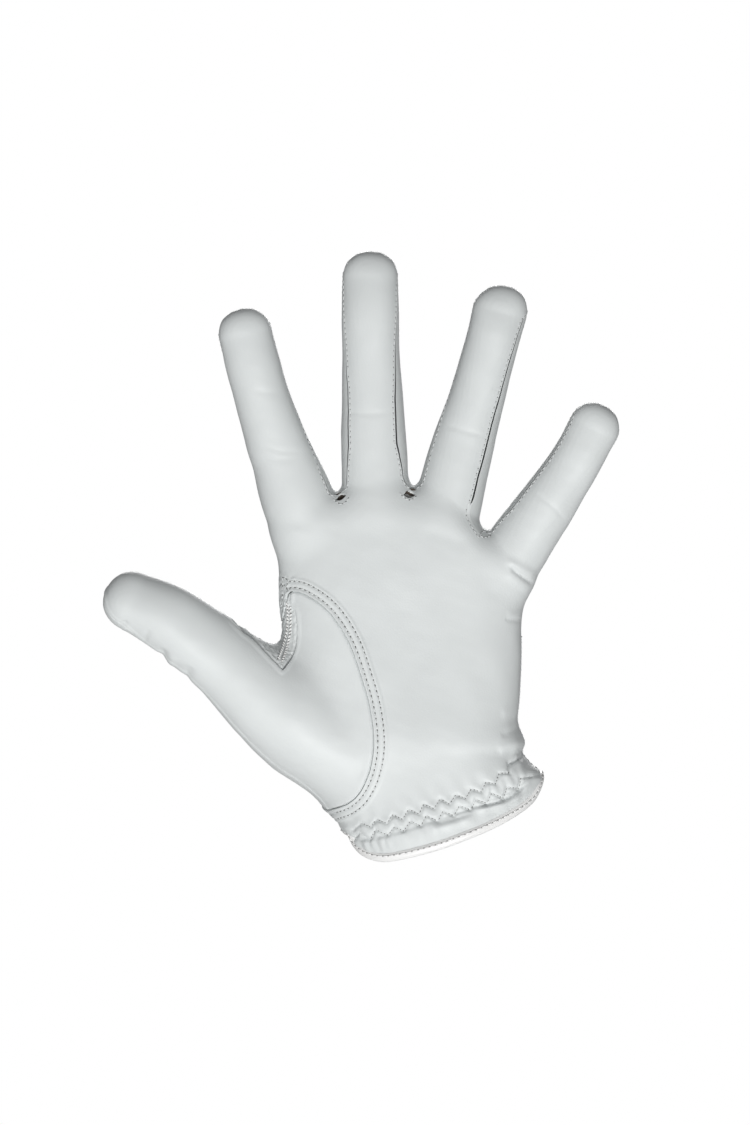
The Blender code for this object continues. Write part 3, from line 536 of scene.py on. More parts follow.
def facts_of(p, normals):
    """Every number that the cuts, edges and folds are made from, at points on the form."""
    x, y, z = p.T
    fields = np.stack([LIMBS[name].field(p) for name in HANDS], 1)
    owner = fields.argmin(1)
    nearest = np.sort(fields, 1)
    between = nearest[:, 1] - nearest[:, 0]
    side_ways, back_ways, along, past, depth, start = (np.zeros(len(p)) for _ in range(6))
    side_start, strips, fronts = (np.zeros((len(p), 2)) for _ in range(3))
    for k, name in enumerate(HANDS):
        mine = owner == k
        limb = LIMBS[name]
        s, a, b, e = limb.locate(p[mine])
        full = limb.length + limb.dome
        t = (s + np.clip(e, 0, None) - LINE_STARTS[name]) / (full - LINE_STARTS[name])
        along[mine], side_ways[mine], back_ways[mine] = s, a / limb.read(limb.width, s), b
        depth[mine], start[mine], past[mine] = limb.read(limb.depth, s), LINE_STARTS[name], t
        side_start[mine] = SIDE_STARTS[name]
        strips[mine] = STRIPS[name]
        for side in (0, 1):
            if STRIPS[name][side]:
                fronts[mine, side] = np.interp(t, *np.array(STRIP_FRONTS[name, side]).T)
    over = along - start - 4.0 * (1 - ease(between, 0, 2.6))
    over = np.where(over <= 0, np.minimum(over, -0.05), over)
    thick = mix(curve_at(BACK_DEPTH, z), depth, ease(over, -18, 0))
    b = mix(y, back_ways, ease(over, 0, 12))
    tip = ease(past, 0.86, 0.96)
    wrap = WRAP_SHARE * (1 - ease(past, 0.70, 0.93))
    back_half = STRIP_SHARE * (1 - ease(past, 0.42, 0.95))
    right = ease(side_ways, -0.3, 0.3)
    edges = []
    for side in (0, 1):
        has = strips[:, side] > 0
        edges.append((np.where(has, -fronts[:, side], wrap), np.where(has, back_half, wrap)))
    front_limit, back_limit = (mix(edges[0][k], edges[1][k], right) for k in (0, 1))
    on_hand = ease(along - mix(side_start[:, 0], side_start[:, 1], right), -1.5, -8)
    front_limit, back_limit = (mix(mix(limit, 0.55, tip), WRAP_SHARE, on_hand) * thick
                               for limit in (front_limit, back_limit))
    lean = np.sqrt(np.maximum(1 - normals[:, 1] ** 2, 0.10))
    to_back = ease(y, -5, 5)
    thumb = mix(outline_distance(x, z, THUMB_OUTLINE), outline_distance(x, z, THUMB_OUTLINE_BACK), to_back)
    quirk = mix(outline_distance(x, z, QUIRK_OUTLINE), outline_distance(x, z, QUIRK_BACK), to_back)
    ts, ta, tb, te = THUMB.locate(p)
    thumb_tip = ease(ts + np.clip(te, 0, None), 84, 96)
    thumb_split = tb - 0.6 + 2.6 * thumb_tip * ease(ta, 1, -5) - 5.0 * ease(ta, 0, 6)
    band = mix(outline_distance(x, z, BAND_OUTLINE), thumb, to_back)
    holes = np.full(len(p), 9.0)
    for (hole_x, hole_z), half, high, slope in FORK_HOLES:
        across, up = x - hole_x, z - hole_z - slope * (x - hole_x)
        leaf = (np.abs(across / half) ** 1.4 + np.abs(up / high) ** 1.4) ** (1 / 1.4) - 1
        holes = np.minimum(holes, np.where(y < 0, leaf, 9.0))
    turn = ease(y, -15, 15)
    rim = z - mix(curve_at(RIM_FRONT, x), curve_at(RIM_BACK, x), turn)
    slit = np.where(y > 0, np.abs(x - SLIT_X) - slit_half(z), 30.0)
    return dict(band=band, holes=holes, owner=owner.astype(float), s=along, over=over, c=side_ways, b=b,
                share=past, front=front_limit - b, back=b - back_limit, lean=lean, thumb=thumb, quirk=quirk,
                thumb_split=thumb_split, ts=ts, rim=rim, slit=slit, x=x, y=y, z=z)


# ---- folds, gathers and the softness of the leather ---------------------------------------------------------
# The two sewn rows of the elastic, in x and z.
ELASTIC_UPPER = [(-32.2, -0.6), (-26.9, 0.0), (-21.0, 1.6), (-15.7, 3.2), (-10.7, 4.6), (-6.6, 6.6), (0.9, 8.6),
                 (6.7, 10.4), (12.5, 13.1), (17.5, 16.0), (21.6, 19.6), (23.7, 23.0)]
ELASTIC_LOWER = [(-32.6, -4.2), (-28.1, -4.0), (-23.1, -3.0), (-18.1, -1.7), (-12.8, -0.1), (-8.2, 1.5),
                 (-2.4, 3.2), (2.6, 4.8), (7.5, 6.6), (13.3, 8.8), (19.1, 10.9), (24.9, 14.0), (27.8, 17.3)]


def zigzag(line, wave, height, swing_seed):
    """Corners of a slightly uneven zigzag along a line in the palm's plane."""
    fine = through(line, 300)
    s = lengths_along(fine)
    number = int(s[-1] / (wave / 2))
    rng = np.random.default_rng(swing_seed)
    places = np.clip(np.linspace(0, s[-1], number + 1) + rng.normal(0, 0.16, number + 1), 0, s[-1])
    spots = read_columns(fine, s, places)
    run = unit(np.gradient(spots, axis=0))
    across = np.stack([-run[:, 1], run[:, 0]], 1)
    swing = np.where(np.arange(number + 1) % 2, 1.0, -1.0) * height / 2 * (1 + rng.normal(0, 0.12, number + 1))
    return spots + across * swing[:, None]


ZIGZAGS = (zigzag(ELASTIC_UPPER, 5.6, 2.4, 1), zigzag(ELASTIC_LOWER, 5.8, 2.7, 2))


def line_distance(x, z, line):
    """Distance in the palm's plane to a line of corners, and how far along it, from 0 to 1."""
    best, where = np.full(len(x), 1e9), np.zeros(len(x))
    for k in range(len(line) - 1):
        run = line[k + 1] - line[k]
        t = np.clip(((x - line[k][0]) * run[0] + (z - line[k][1]) * run[1]) / max(run @ run, 1e-9), 0, 1)
        gap = np.hypot(x - line[k][0] - t * run[0], z - line[k][1] - t * run[1])
        where = np.where(gap < best, (k + t) / (len(line) - 1), where)
        best = np.minimum(best, gap)
    return best, where


def crease(x, z, ends, width, taper=0.25):
    """How strongly points lie on a crease drawn through these places, from 0 to 1."""
    count = 20 if len(ends) > 2 else 8
    best, where = line_distance(x, z, through(ends, count))
    return np.exp(-((best / width) ** 2)) * ease(where, 0, taper) * ease(where, 1, 1 - taper)


# Folds in the palm leather: the places that one runs through, its half width and its height, which is below 0
# for a groove.
FOLDS = (
    ([(21.0, 88.6), (25.0, 85.2), (30.5, 81.6)], 0.55, -0.95),
    ([(19.5, 90.8), (25.5, 87.4), (31.5, 84.0)], 1.5, 0.55),
    ([(20.0, 86.2), (25.0, 82.4), (29.5, 79.2)], 1.5, 0.30),
    ([(19.4, 70.1), (22.5, 69.7), (26.5, 69.2)], 0.6, -0.40), ([(20.0, 72.0), (26.5, 71.0)], 1.2, 0.20),
    ([(9.0, 5.9), (13.3, 7.0), (19.1, 8.6), (24.1, 11.4), (28.2, 14.9)], 0.36, -1.3),
    ([(9.0, 4.9), (15.0, 6.0), (21.0, 7.7), (28.0, 11.8)], 0.95, 0.85),
    ([(-6.0, 0.2), (2.0, 2.2), (9.0, 4.6)], 0.9, -0.55), ([(-8.0, -1.8), (1.0, 0.2), (9.0, 2.6)], 1.4, 0.45),
    ([(-1.0, 3.2), (6.0, 5.2), (11.0, 7.0)], 0.6, -0.45),
    ([(17.0, 25.0), (21.0, 26.6), (26.5, 28.2)], 1.5, 0.50),
    ([(18.0, 30.0), (22.0, 31.6), (26.0, 33.0)], 1.1, -0.45), ([(18.0, 37.5), (25.5, 39.0)], 2.0, 0.30),
    ([(20.0, 20.5), (27.0, 23.0)], 1.0, -0.45), ([(-64.5, 130.0), (-57.0, 127.6), (-48.0, 127.2)], 0.8, -0.13),
    ([(-65.5, 126.8), (-58.0, 124.6), (-49.0, 125.6)], 0.9, -0.12),
    ([(-68.0, 149.0), (-62.0, 147.6), (-55.5, 148.0)], 0.8, -0.10),
    ([(-36.0, 141.6), (-28.0, 140.4), (-17.0, 141.0)], 0.8, -0.16),
    ([(-2.0, 137.0), (7.0, 134.2), (15.0, 132.6)], 0.8, -0.16),
    ([(29.5, 113.5), (36.0, 108.6), (41.0, 103.4)], 0.8, -0.16), ([(-99.8, 54.6), (-96.0, 60.5)], 1.5, -0.55),
    ([(-96.6, 52.0), (-93.0, 58.5)], 1.7, 0.50), ([(-90.6, 48.0), (-87.4, 54.5)], 1.7, -0.50),
    ([(-104.0, 62.0), (-101.4, 67.0)], 1.1, -0.30), ([(-112.6, 68.6), (-108.8, 69.4)], 0.6, -0.35),
    ([(-111.8, 67.2), (-108.0, 66.6)], 0.6, 0.30),
    ([(-62.0, 108.0), (-54.0, 103.5), (-44.0, 101.5)], 2.4, -0.24),
    ([(-9.0, 101.0), (0.0, 98.5), (9.0, 95.0)], 2.6, -0.22),
)


def softness(p, f):
    """How far the leather stands off the form, in millimetres."""
    x, y, z = p.T
    palm = ease(y, 4, -8)
    move = 0.30 * waves(p, 34, 3) + 0.10 * waves(p, 13, 5) + 0.03 * waves(p, 5, 9)
    upper, lower = curve_at(ELASTIC_UPPER, x), curve_at(ELASTIC_LOWER, x)
    between = ease(z, lower - 1.2, lower + 0.8) * ease(z, upper + 1.2, upper - 0.8)
    along = x * 0.92 + z * 0.38
    gather = np.sin(along * 2 * math.pi / 5.7 + 1.4 * waves(p, 18, 8))
    fine = np.sin(along * 2 * math.pi / 2.7 + 1.1 * waves(p, 9, 4))
    move += palm * between * (0.40 + 0.14 * gather + 0.07 * fine) * mix(0.4, 1.0, ease(x, 30.0, 24.0))
    inward = ease(x, -35.5, -31.0) * ease(x, 31.0, 25.5)
    near_cuff = palm * ease(z, upper + 12, upper + 6) * mix(0.35, 1.0, inward)
    for corners, deep in zip(ZIGZAGS, (0.62, 0.70)):
        gap, _ = line_distance(x, z, corners)
        move -= near_cuff * deep * (0.75 * np.exp(-((gap / 0.45) ** 2)) + 0.25 * np.exp(-((gap / 1.2) ** 2)))
    above = ease(z, upper + 0.5, upper + 2) * ease(z, upper + 9, upper + 1)
    below = ease(z, lower - 0.8, lower - 2.2) * ease(z, lower - 9, lower - 2.5)
    pleats = np.sin((x + 0.35 * z) * 2 * math.pi / 2.8 + 0.9 * waves(p, 7, 6))
    move += palm * (0.16 * gather * above + below * (0.15 * gather + 0.22 * pleats * ease(x, -15, -23)))
    move += palm * 0.45 * below
    move += 2.5 * ease(y, -4, -12) * np.exp(-(((x + 47) / 9.5) ** 2) - ((z - 45) / 15) ** 2)
    for ends, width, deep in FOLDS:
        move += palm * deep * crease(x, z, ends, width)
    pucker = ease(f["quirk"], -0.4, 0.6) * ease(f["thumb"], -5.5, -1.0)
    cluster = np.exp(-(((x + 54.0) / 3.2) ** 2) - ((z - 83.0) / 3.4) ** 2) * palm
    return move + 0.20 * (pucker + cluster) * waves(p, 1.9, 12) + 0.10 * pucker * waves(p, 1.1, 13)


def tip_puckers(f):
    """Small gathers beside the seam over a fingertip."""
    near_seam = np.exp(-((np.abs(f["b"]) / 2.6) ** 2))
    return 0.05 * ease(f["share"], 0.86, 0.97) * near_seam * np.sin(f["c"] * 15 + f["owner"] * 2)


def edge_lift(e, kind):
    """The shape of a panel beside a sewn edge e millimetres away."""
    if kind == "over":
        return 0.15 * ease(e, 1.8, 0.6) - 0.14 * np.exp(-(((e - ROW) / 0.34) ** 2))
    if kind == "lip":
        return 0.26 * ease(e, 1.5, 0.4)
    if kind == "under":
        return -0.48 * ease(e, 0.75, 0.05)
    if kind == "deep":
        return -0.80 * ease(e, 1.3, 0.1)
    if kind == "band":
        rows = sum(np.exp(-(((e - row) / 0.42) ** 2)) for row in BAND_ROWS)
        return 0.38 * ease(e, 5.0, 3.6) - 0.34 * rows + 0.12 * ease(e, 1.0, 0.2)
    return -0.80 * ease(e, 0.85, 0.0) + 0.14 * ease(e, 0.2, 1.1) * ease(e, 3.6, 1.3)


# ---- making Blender objects ---------------------------------------------------------------------------------
def mesh_object(name, points, faces, normals, material):
    """An object from points in millimetres and faces, and from normals where they are given."""
    data = bpy.data.meshes.new(name)
    faces = np.asarray(faces)
    data.vertices.add(len(points))
    data.vertices.foreach_set("co", (np.asarray(points, float) * MM).ravel())
    data.loops.add(faces.size)
    data.loops.foreach_set("vertex_index", faces.astype(np.int32).ravel())
    data.polygons.add(len(faces))
    data.polygons.foreach_set("loop_start", np.arange(0, faces.size, faces.shape[1], dtype=np.int32))
    data.update(calc_edges=True)
    data.validate()
    data.shade_smooth()
    if normals is not None and len(data.vertices) == len(normals):
        data.normals_split_custom_set_from_vertices(normals.tolist())
    obj = bpy.data.objects.new(name, data)
    bpy.context.scene.collection.objects.link(obj)
    data.materials.append(material)
    return obj


def turned_edge(skin, depth, keep, out=0.14):
    """Adds a rounded, turned-in edge along the rim of a skin. keep says which rim points get one."""
    rim = skin.rim()
    rim = rim[keep[rim].all(1)]
    if not len(rim):
        return skin
    used, index = np.unique(rim, return_inverse=True)
    index = index.reshape(-1, 2)
    outward = np.zeros((len(used), 3))
    run = skin.points[rim[:, 1]] - skin.points[rim[:, 0]]
    away = np.cross(run, skin.normals[rim[:, 0]])
    for k in (0, 1):
        np.add.at(outward, index[:, k], away)
    outward = unit(outward)
    top, normal = skin.points[used], skin.normals[used]
    rings = ((0.30, unit(normal + outward * 1.3)), (depth, outward))
    points, normals, faces = [skin.points], [skin.normals], [skin.faces]
    before = used
    total = len(skin.points)
    for down, facing in rings:
        points.append(top - normal * down + outward * out)
        normals.append(facing)
        here = total + np.arange(len(used))
        total += len(used)
        (a, b), (d, c) = before[index].T, here[index].T
        faces += [np.stack([b, a, d], 1), np.stack([b, d, c], 1)]
        before = here
    facts = {k: np.concatenate([v, v[used], v[used]]) for k, v in skin.facts.items()}
    return Skin(np.concatenate(points), np.concatenate(normals), np.concatenate(faces), facts)


def frames_along(points, normals):
    """Directions at each point of a line: along it, up off the leather, and across."""
    run = unit(np.gradient(points, axis=0))
    up = unit(normals - run * (normals * run).sum(1, keepdims=True))
    return run, up, np.cross(run, up)


def tube(points, radius, sides, normals, flat=1.0):
    """Points and quads of a capped tube along a line; flat squeezes it towards the leather."""
    _, up, side = frames_along(points, normals)
    turn = (np.arange(sides) * 2 * math.pi / sides)[None, :, None]
    radius = np.broadcast_to(radius, len(points))[:, None, None]
    ring = (up[:, None] * (np.cos(turn) * flat) + side[:, None] * np.sin(turn)) * radius
    spots = (points[:, None] + ring).reshape(-1, 3)
    n = len(points)
    i, j = np.meshgrid(np.arange(n - 1), np.arange(sides), indexing="ij")
    i, j = i.ravel(), j.ravel()
    k = (j + 1) % sides
    faces = np.stack([i * sides + j, i * sides + k, (i + 1) * sides + k, (i + 1) * sides + j], 1)
    spots = np.concatenate([spots, points[:1], points[-1:]])
    j = np.arange(sides)
    k = (j + 1) % sides
    first = np.stack([np.full(sides, n * sides), k, j, j], 1)
    j, k = j + (n - 1) * sides, k + (n - 1) * sides
    last = np.stack([np.full(sides, n * sides + 1), j, k, k], 1)
    return spots, np.concatenate([faces, first, last])


def as_triangles(quads):
    """Two triangles for each quad, without those that have no area because two corners are one point."""
    tris = np.concatenate([quads[:, [0, 1, 2]], quads[:, [0, 2, 3]]])
    return tris[(tris[:, 0] != tris[:, 1]) & (tris[:, 1] != tris[:, 2]) & (tris[:, 0] != tris[:, 2])]


def along_line(points, normals, s, places):
    """Points and normals of a line at places along it."""
    return read_columns(points, s, places), unit(read_columns(normals, s, places))


def evenly(points, normals, spacing):
    """The line again, with points this far apart."""
    s = lengths_along(points)
    count = max(2, int(round(s[-1] / spacing)) + 1)
    return along_line(points, normals, s, np.linspace(0, s[-1], count))


def smoothed(points, rounds=4):
    """The line with its small steps evened out."""
    points = points.copy()
    for _ in range(rounds):
        points[1:-1] = points[1:-1] * 0.5 + (points[:-2] + points[2:]) * 0.25
    return points


def strand(line, facing, heights, radii, sides=6):
    """Points and triangles of a short strand along part of a line."""
    spots, quads = tube(line + facing * heights[:, None], radii, sides, facing)
    return spots, as_triangles(quads)


# A stitch: how far along it its points are, and their shares of its height and of its thread's radius. A hole
# is alike, but its places are shares of its half length from its middle, and its heights are in millimetres.
STITCH_PLACES, STITCH_LIFTS = np.array([0, 0.12, 0.35, 0.65, 0.88, 1]), np.array([-0.3, 0, 1, 1, 0, -0.3])
STITCH_RADII = np.array([0.5, 0.85, 1, 1, 0.85, 0.5])
# A hole is a short dark strand of painted shade, sunk just into the leather, for the shadow inside a needle hole.
HOLE_PLACES, HOLE_LIFTS = np.array([-1, -0.5, 0.5, 1]), np.array([-0.12, -0.02, -0.02, -0.12])
HOLE_RADII = np.array([0.5, 1.05, 1.05, 0.5])


def sewing(points, normals, pitch, share, radius, lift, hole, seed, slant):
    """Thread stitches along a line on the leather, and between them dark strands of painted shade that stand for
    the shadow in the needle holes.
    """
    points, normals = evenly(smoothed(points), unit(smoothed(normals)), 0.35)
    s = lengths_along(points)
    rng = np.random.default_rng(seed)
    threads, holes = [], []
    for k in range(int(s[-1] / pitch)):
        begin = (k + 0.5 - share / 2 + rng.normal(0, 0.03)) * pitch
        line, facing = along_line(points, normals, s, begin + STITCH_PLACES * share * pitch)
        if slant:
            across = unit(np.cross(facing, line[-1] - line[0]))
            line = line + across * (np.linspace(-1, 1, len(line)) * slant)[:, None]
        threads.append(strand(line, facing, STITCH_LIFTS * lift, radius * STITCH_RADII))
        gap = begin + (share + (1 - share) / 2) * pitch
        reach = hole * rng.uniform(0.8, 1.15)
        line, facing = along_line(points, normals, s, gap + HOLE_PLACES * reach)
        holes.append(strand(line, facing, HOLE_LIFTS, radius * HOLE_RADII))
    return threads, holes


def gathered(parts):
    """One list of points and one of triangles, from many."""
    offsets = np.cumsum([0] + [len(spots) for spots, _ in parts[:-1]])
    return (np.concatenate([spots for spots, _ in parts]),
            np.concatenate([faces + offset for (_, faces), offset in zip(parts, offsets)]))


# ---- materials ----------------------------------------------------------------------------------------------
def node(tree, kind, inputs=None, **settings):
    """A new node, with values for its inputs and its own settings."""
    made = tree.nodes.new(kind)
    for key, value in settings.items():
        setattr(made, key, value)
    for key, value in (inputs or {}).items():
        made.inputs[key].default_value = value
    return made


def principled(name, inputs):
    """A new material, its node tree and its Principled node with these inputs."""
    material = bpy.data.materials.new(name)
    material.use_nodes = True
    shader = material.node_tree.nodes["Principled BSDF"]
    for key, value in inputs.items():
        shader.inputs[key].default_value = value
    return material, material.node_tree, shader


def surface_material(name, colour, roughness, coat=0.0, sheen=0.0, grain=0.0, grain_size=1.0, tint=0.0):
    """A Principled material with a fine grain and slow changes of tone."""
    material, tree, shader = principled(name, {
        "Base Color": (*colour, 1), "Roughness": roughness, "Metallic": 0.0, "Specular IOR Level": 0.4,
        "Coat Weight": coat, "Coat Roughness": 0.35, "Sheen Weight": sheen})
    place = node(tree, "ShaderNodeTexCoord").outputs["Object"]
    if tint:
        slow = node(tree, "ShaderNodeTexNoise", {"Scale": TONE_SCALE, "Detail": 5.0})
        ramp = node(tree, "ShaderNodeValToRGB")
        for element, spot, shade in zip(ramp.color_ramp.elements, (0.32, 0.68), (1 - tint, 1)):
            element.position = spot
            element.color = (*(c * shade for c in colour), 1)
        tree.links.new(place, slow.inputs["Vector"])
        tree.links.new(slow.outputs["Fac"], ramp.inputs["Fac"])
        tree.links.new(ramp.outputs["Color"], shader.inputs["Base Color"])
    if grain:
        pores = node(tree, "ShaderNodeTexVoronoi", {"Scale": PORE_SCALE / grain_size},
                     feature="DISTANCE_TO_EDGE")
        soft = node(tree, "ShaderNodeTexNoise", {"Scale": GRAIN_SCALE / grain_size, "Detail": 6.0})
        both = node(tree, "ShaderNodeMath", operation="ADD")
        bump = node(tree, "ShaderNodeBump", {"Strength": grain, "Distance": GRAIN_HEIGHT})
        tree.links.new(place, pores.inputs["Vector"])
        tree.links.new(place, soft.inputs["Vector"])
        tree.links.new(pores.outputs["Distance"], both.inputs[0])
        tree.links.new(soft.outputs["Fac"], both.inputs[1])
        tree.links.new(both.outputs["Value"], bump.inputs["Height"])
        tree.links.new(bump.outputs["Normal"], shader.inputs["Normal"])
    return material


# Features to a metre for the changes of tone, the pores and the fine grain, and the grain's height in metres.
TONE_SCALE, PORE_SCALE, GRAIN_SCALE, GRAIN_HEIGHT = 38.0, 1000.0, 420.0, 0.0002
LEATHER = surface_material("white_leather", (0.674, 0.701, 0.702), 0.50, sheen=0.04, grain=0.16, tint=0.04)
SIDE_LEATHER = surface_material("side_leather", (0.650, 0.675, 0.675), 0.54, sheen=0.05, grain=0.26, tint=0.05)
LINING = surface_material("inside_leather", (0.46, 0.46, 0.45), 0.85, sheen=0.2, grain=0.3, tint=0.06)
BINDING = surface_material("binding", (0.83, 0.83, 0.825), 0.30, coat=0.25, grain=0.04)
THREAD = surface_material("thread", (0.64, 0.655, 0.655), 0.6)
WHITE_THREAD = surface_material("white_thread", (0.80, 0.80, 0.795), 0.55)
# Painted shade: these two dark greys colour the needle holes, standing for the shadow inside them.
NEEDLE_HOLE_SHADE = surface_material("needle_hole_shade", (0.13, 0.13, 0.125), 0.8)
SOFT_HOLE_SHADE = surface_material("soft_needle_hole_shade", (0.36, 0.36, 0.355), 0.8)
# A near-black brown used as painted shade for the glove's shadowed inside behind the fork gaps.
SHADE = surface_material("inside_shade", (0.060, 0.045, 0.035), 0.9)
LOOP = surface_material("loop_pile", (0.70, 0.71, 0.70), 0.95, sheen=0.4, grain=0.9, grain_size=0.7)
HOOK = surface_material("hook_tape", (0.72, 0.73, 0.72), 0.6, grain=0.3)
BADGE = surface_material("badge", (0.56, 0.58, 0.60), 0.35, coat=0.2)


# ---- build the skin -----------------------------------------------------------------------------------------
# The corners of the box that holds the form.
LOW, HIGH = np.array([-124.0, -36.0, -21.0]), np.array([66.0, 31.0, 203.0])
points, quads = net(grid_values(LOW, HIGH, STEP), LOW, STEP)
faces = as_triangles(quads)
points, normals = settle(points)


def near_seam(f):
    """Where the mesh is refined: near every seam and over the gathered cuff."""
    reach = np.minimum(np.abs(f["front"]), np.abs(f["back"])) / f["lean"]
    reach = np.where((f["share"] > 0.9) & (f["over"] > 0), np.minimum(reach, np.abs(f["b"])), reach)
    reach = np.minimum(reach, np.abs(f["thumb"]))
    reach = np.minimum(reach, np.where(f["thumb"] > -3, np.abs(f["quirk"]), 9))
    reach = np.minimum(reach, np.where(f["thumb"] > 0, np.abs(f["thumb_split"]), 9))
    cuff = (f["y"] < 4) & (f["z"] < curve_at(ELASTIC_UPPER, f["x"]) + 3)
    return (reach < 2.6) | cuff | ((f["thumb"] < 0) & (f["thumb"] > -5.2))


points, faces = refine(points, faces, near_seam(facts_of(points, normals)))
points, normals = settle(points, 2)
facts = facts_of(points, normals)
whole = Skin(points, normals, faces, facts)
rim_lines = whole.lines(whole.facts["rim"], 60.0)
whole = whole.above(whole.facts["rim"])
open_back = whole.above(whole.facts["slit"])


def shaped(skin, moves):
    """The skin with its leather moved off the form, and normals to match."""
    move = softness(skin.points, skin.facts) + moves
    return Skin(skin.points + skin.normals * move[:, None], skin.normals, skin.faces, skin.facts).with_normals()


def sewn(skin, kinds):
    """The moves that sewn edges make: kinds maps a fact, such as front or thumb, to the kind of edge."""
    f = skin.facts
    total = np.zeros(len(skin.points))
    for key, kind in kinds.items():
        e = np.abs(f[key])
        if key in ("front", "back"):
            e = e / f["lean"]
        total += edge_lift(e, kind)
    return total + tip_puckers(f)


hand_skin = open_back.above(-open_back.facts["thumb"])
thumb_skin = open_back.above(open_back.facts["thumb"] - 0.05)
quirk_skin = thumb_skin.above(thumb_skin.facts["quirk"] - 0.12)
thumb_skin = thumb_skin.above(-thumb_skin.facts["quirk"])

front_skin = hand_skin.above(hand_skin.facts["front"])
front_skin = front_skin.above(front_skin.facts["holes"])
f = hand_skin.facts
rest = hand_skin.above(-f["front"] - 0.16 - 0.36 * ease(f["over"], -1, 3))
back_skin = rest.above(rest.facts["back"])
strip_skin = rest.above(-rest.facts["back"] - 0.12)
strip_skin = strip_skin.above(strip_skin.facts["holes"])

front_skin = shaped(front_skin, sewn(front_skin, {"front": "over", "band": "band"}))
back_skin = shaped(back_skin, sewn(back_skin, {"back": "over", "thumb": "over"}))
strip_skin = shaped(strip_skin, sewn(strip_skin, {"front": "under", "back": "under"}))
thumb_front = thumb_skin.above(-thumb_skin.facts["thumb_split"])
thumb_back = thumb_skin.above(thumb_skin.facts["thumb_split"] - 0.22)
thumb_front = shaped(thumb_front, sewn(thumb_front, {"thumb": "rising", "quirk": "lip", "thumb_split": "lip"}))
thumb_back = shaped(thumb_back, sewn(thumb_back, {"thumb": "under", "quirk": "lip", "thumb_split": "under"}))
quirk_skin = shaped(quirk_skin, sewn(quirk_skin, {"thumb": "under", "quirk": "deep"}))


# ---- fixing pieces to the frame -----------------------------------------------------------------------------
def joint_place(name):
    """Where a joint of the frame is."""
    joint = next(j for j in frame["joints"] if j["name"] == name)
    return np.array(joint["pos_m"], float).reshape(1, 3) / MM


def finger_zones(name):
    """Places along a finger: the bend zones at its three joints, and where its pieces part between them."""
    limb, start = LIMBS[name], LINE_STARTS[name]
    middle = float(limb.locate(joint_place(f"{name}_middle_joint"))[0][0])
    last = float(limb.locate(joint_place(f"{name}_tip_joint"))[0][0])
    first_end = start + 0.56 * (middle - start)
    reach = 0.36 * (last - middle)
    second = (middle - reach, middle + reach)
    third = (last - reach * 0.85, last + reach * 0.85)
    parts = ((first_end + second[0]) / 2, (second[1] + third[0]) / 2)
    return ((start, first_end), second, third), parts


ZONES = {name: finger_zones(name) for name in HANDS}
# Where the thumb's pieces part, in x, and the two ends of each of its bend zones.
THUMB_PART = -79.4
THUMB_BENDS = (((-61.2, -10, 48), (-77.5, -10, 48)), ((-80.2, -13, 66), (-97.5, -13, 66)))
PARTS = ("proximal", "middle", "tip")


def body_names(name, part):
    """The bodies below and above the joint that a part of a finger bends over."""
    chain = ["hand", f"{name}_proximal", f"{name}_middle", f"{name}_tip"]
    k = PARTS.index(part)
    return chain[k], chain[k + 1]


def bend(obj, name, part):
    """Bakes the transform of a piece of a finger into its mesh; the bodies and bend ends of the joint below that
    part are worked out and passed on, but not used.
    """
    limb = LIMBS[name]
    low, high = ZONES[name][0][PARTS.index(part)]
    ends = [limb.read(limb.centre, np.array([s]))[0] * MM for s in (low, high)]
    first, second = body_names(name, part)
    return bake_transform(obj, first, second, start=tuple(ends[0]), end=tuple(ends[1]))


def bend_thumb(obj, part):
    """Bakes the transform of a piece of the thumb into its mesh; the bodies and bend ends of the joint below that
    part are passed on, but not used.
    """
    start, end = THUMB_BENDS[0 if part == "proximal" else 1]
    bodies = ("hand", "thumb_proximal") if part == "proximal" else ("thumb_proximal", "thumb_tip")
    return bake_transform(obj, *bodies, start=tuple(c * MM for c in start), end=tuple(c * MM for c in end))


def piece_of(skin, name, material, slot_name, edge, depth=0.95):
    """An object from a skin, with turned edges where edge says so."""
    closed = turned_edge(skin, depth, edge(skin))
    obj = mesh_object(name, closed.points, closed.faces, closed.normals, material)
    return obj


def sewn_rim(*keys, near=0.4):
    """Says which points of a skin lie on one of these seams."""
    def test(skin):
        found = np.zeros(len(skin.points), bool)
        for key in keys:
            found |= np.abs(skin.facts[key]) < near
        return found

    return test


def finger_parts(skin, name):
    """The three parts of a finger's panel, from a skin that has all four fingers."""
    k = HANDS.index(name)
    mine = skin.above(skin.facts["over"])
    mine = mine.where(np.abs(mine.facts["owner"] - k) < 0.01)
    first, second = ZONES[name][1]
    s = mine.facts["s"]
    yield "proximal", mine.above(first - s)
    upper = mine.above(s - first)
    yield "middle", upper.above(second - upper.facts["s"])
    yield "tip", upper.above(upper.facts["s"] - second)


def hand_part(skin):
    """The part of a skin below the fingers."""
    return skin.above(-skin.facts["over"])


# Panels of the hand: skin, name, material, slot, the seams with a turned edge, the nodes that a panel stands
# for, and how deep its edge turns.
HAND_PIECES = (
    (front_skin, "palm_leather", LEATHER, "leather", ("front", "thumb", "holes"), ("palm_panel",), 0.95),
    (back_skin, "back_leather", LEATHER, "leather", ("back", "thumb", "slit"), ("back_panel",), 0.95),
    (strip_skin, "webs", SIDE_LEATHER, "side_leather", ("front", "back", "holes"),
     ("web_index_middle", "web_middle_ring", "web_ring_little"), 0.6),
)
for skin, name, material, slot_name, seams, nodes, depth in HAND_PIECES:
    piece = piece_of(hand_part(skin), name, material, slot_name, sewn_rim(*seams), depth)
    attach(piece, "hand")
    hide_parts(*nodes)

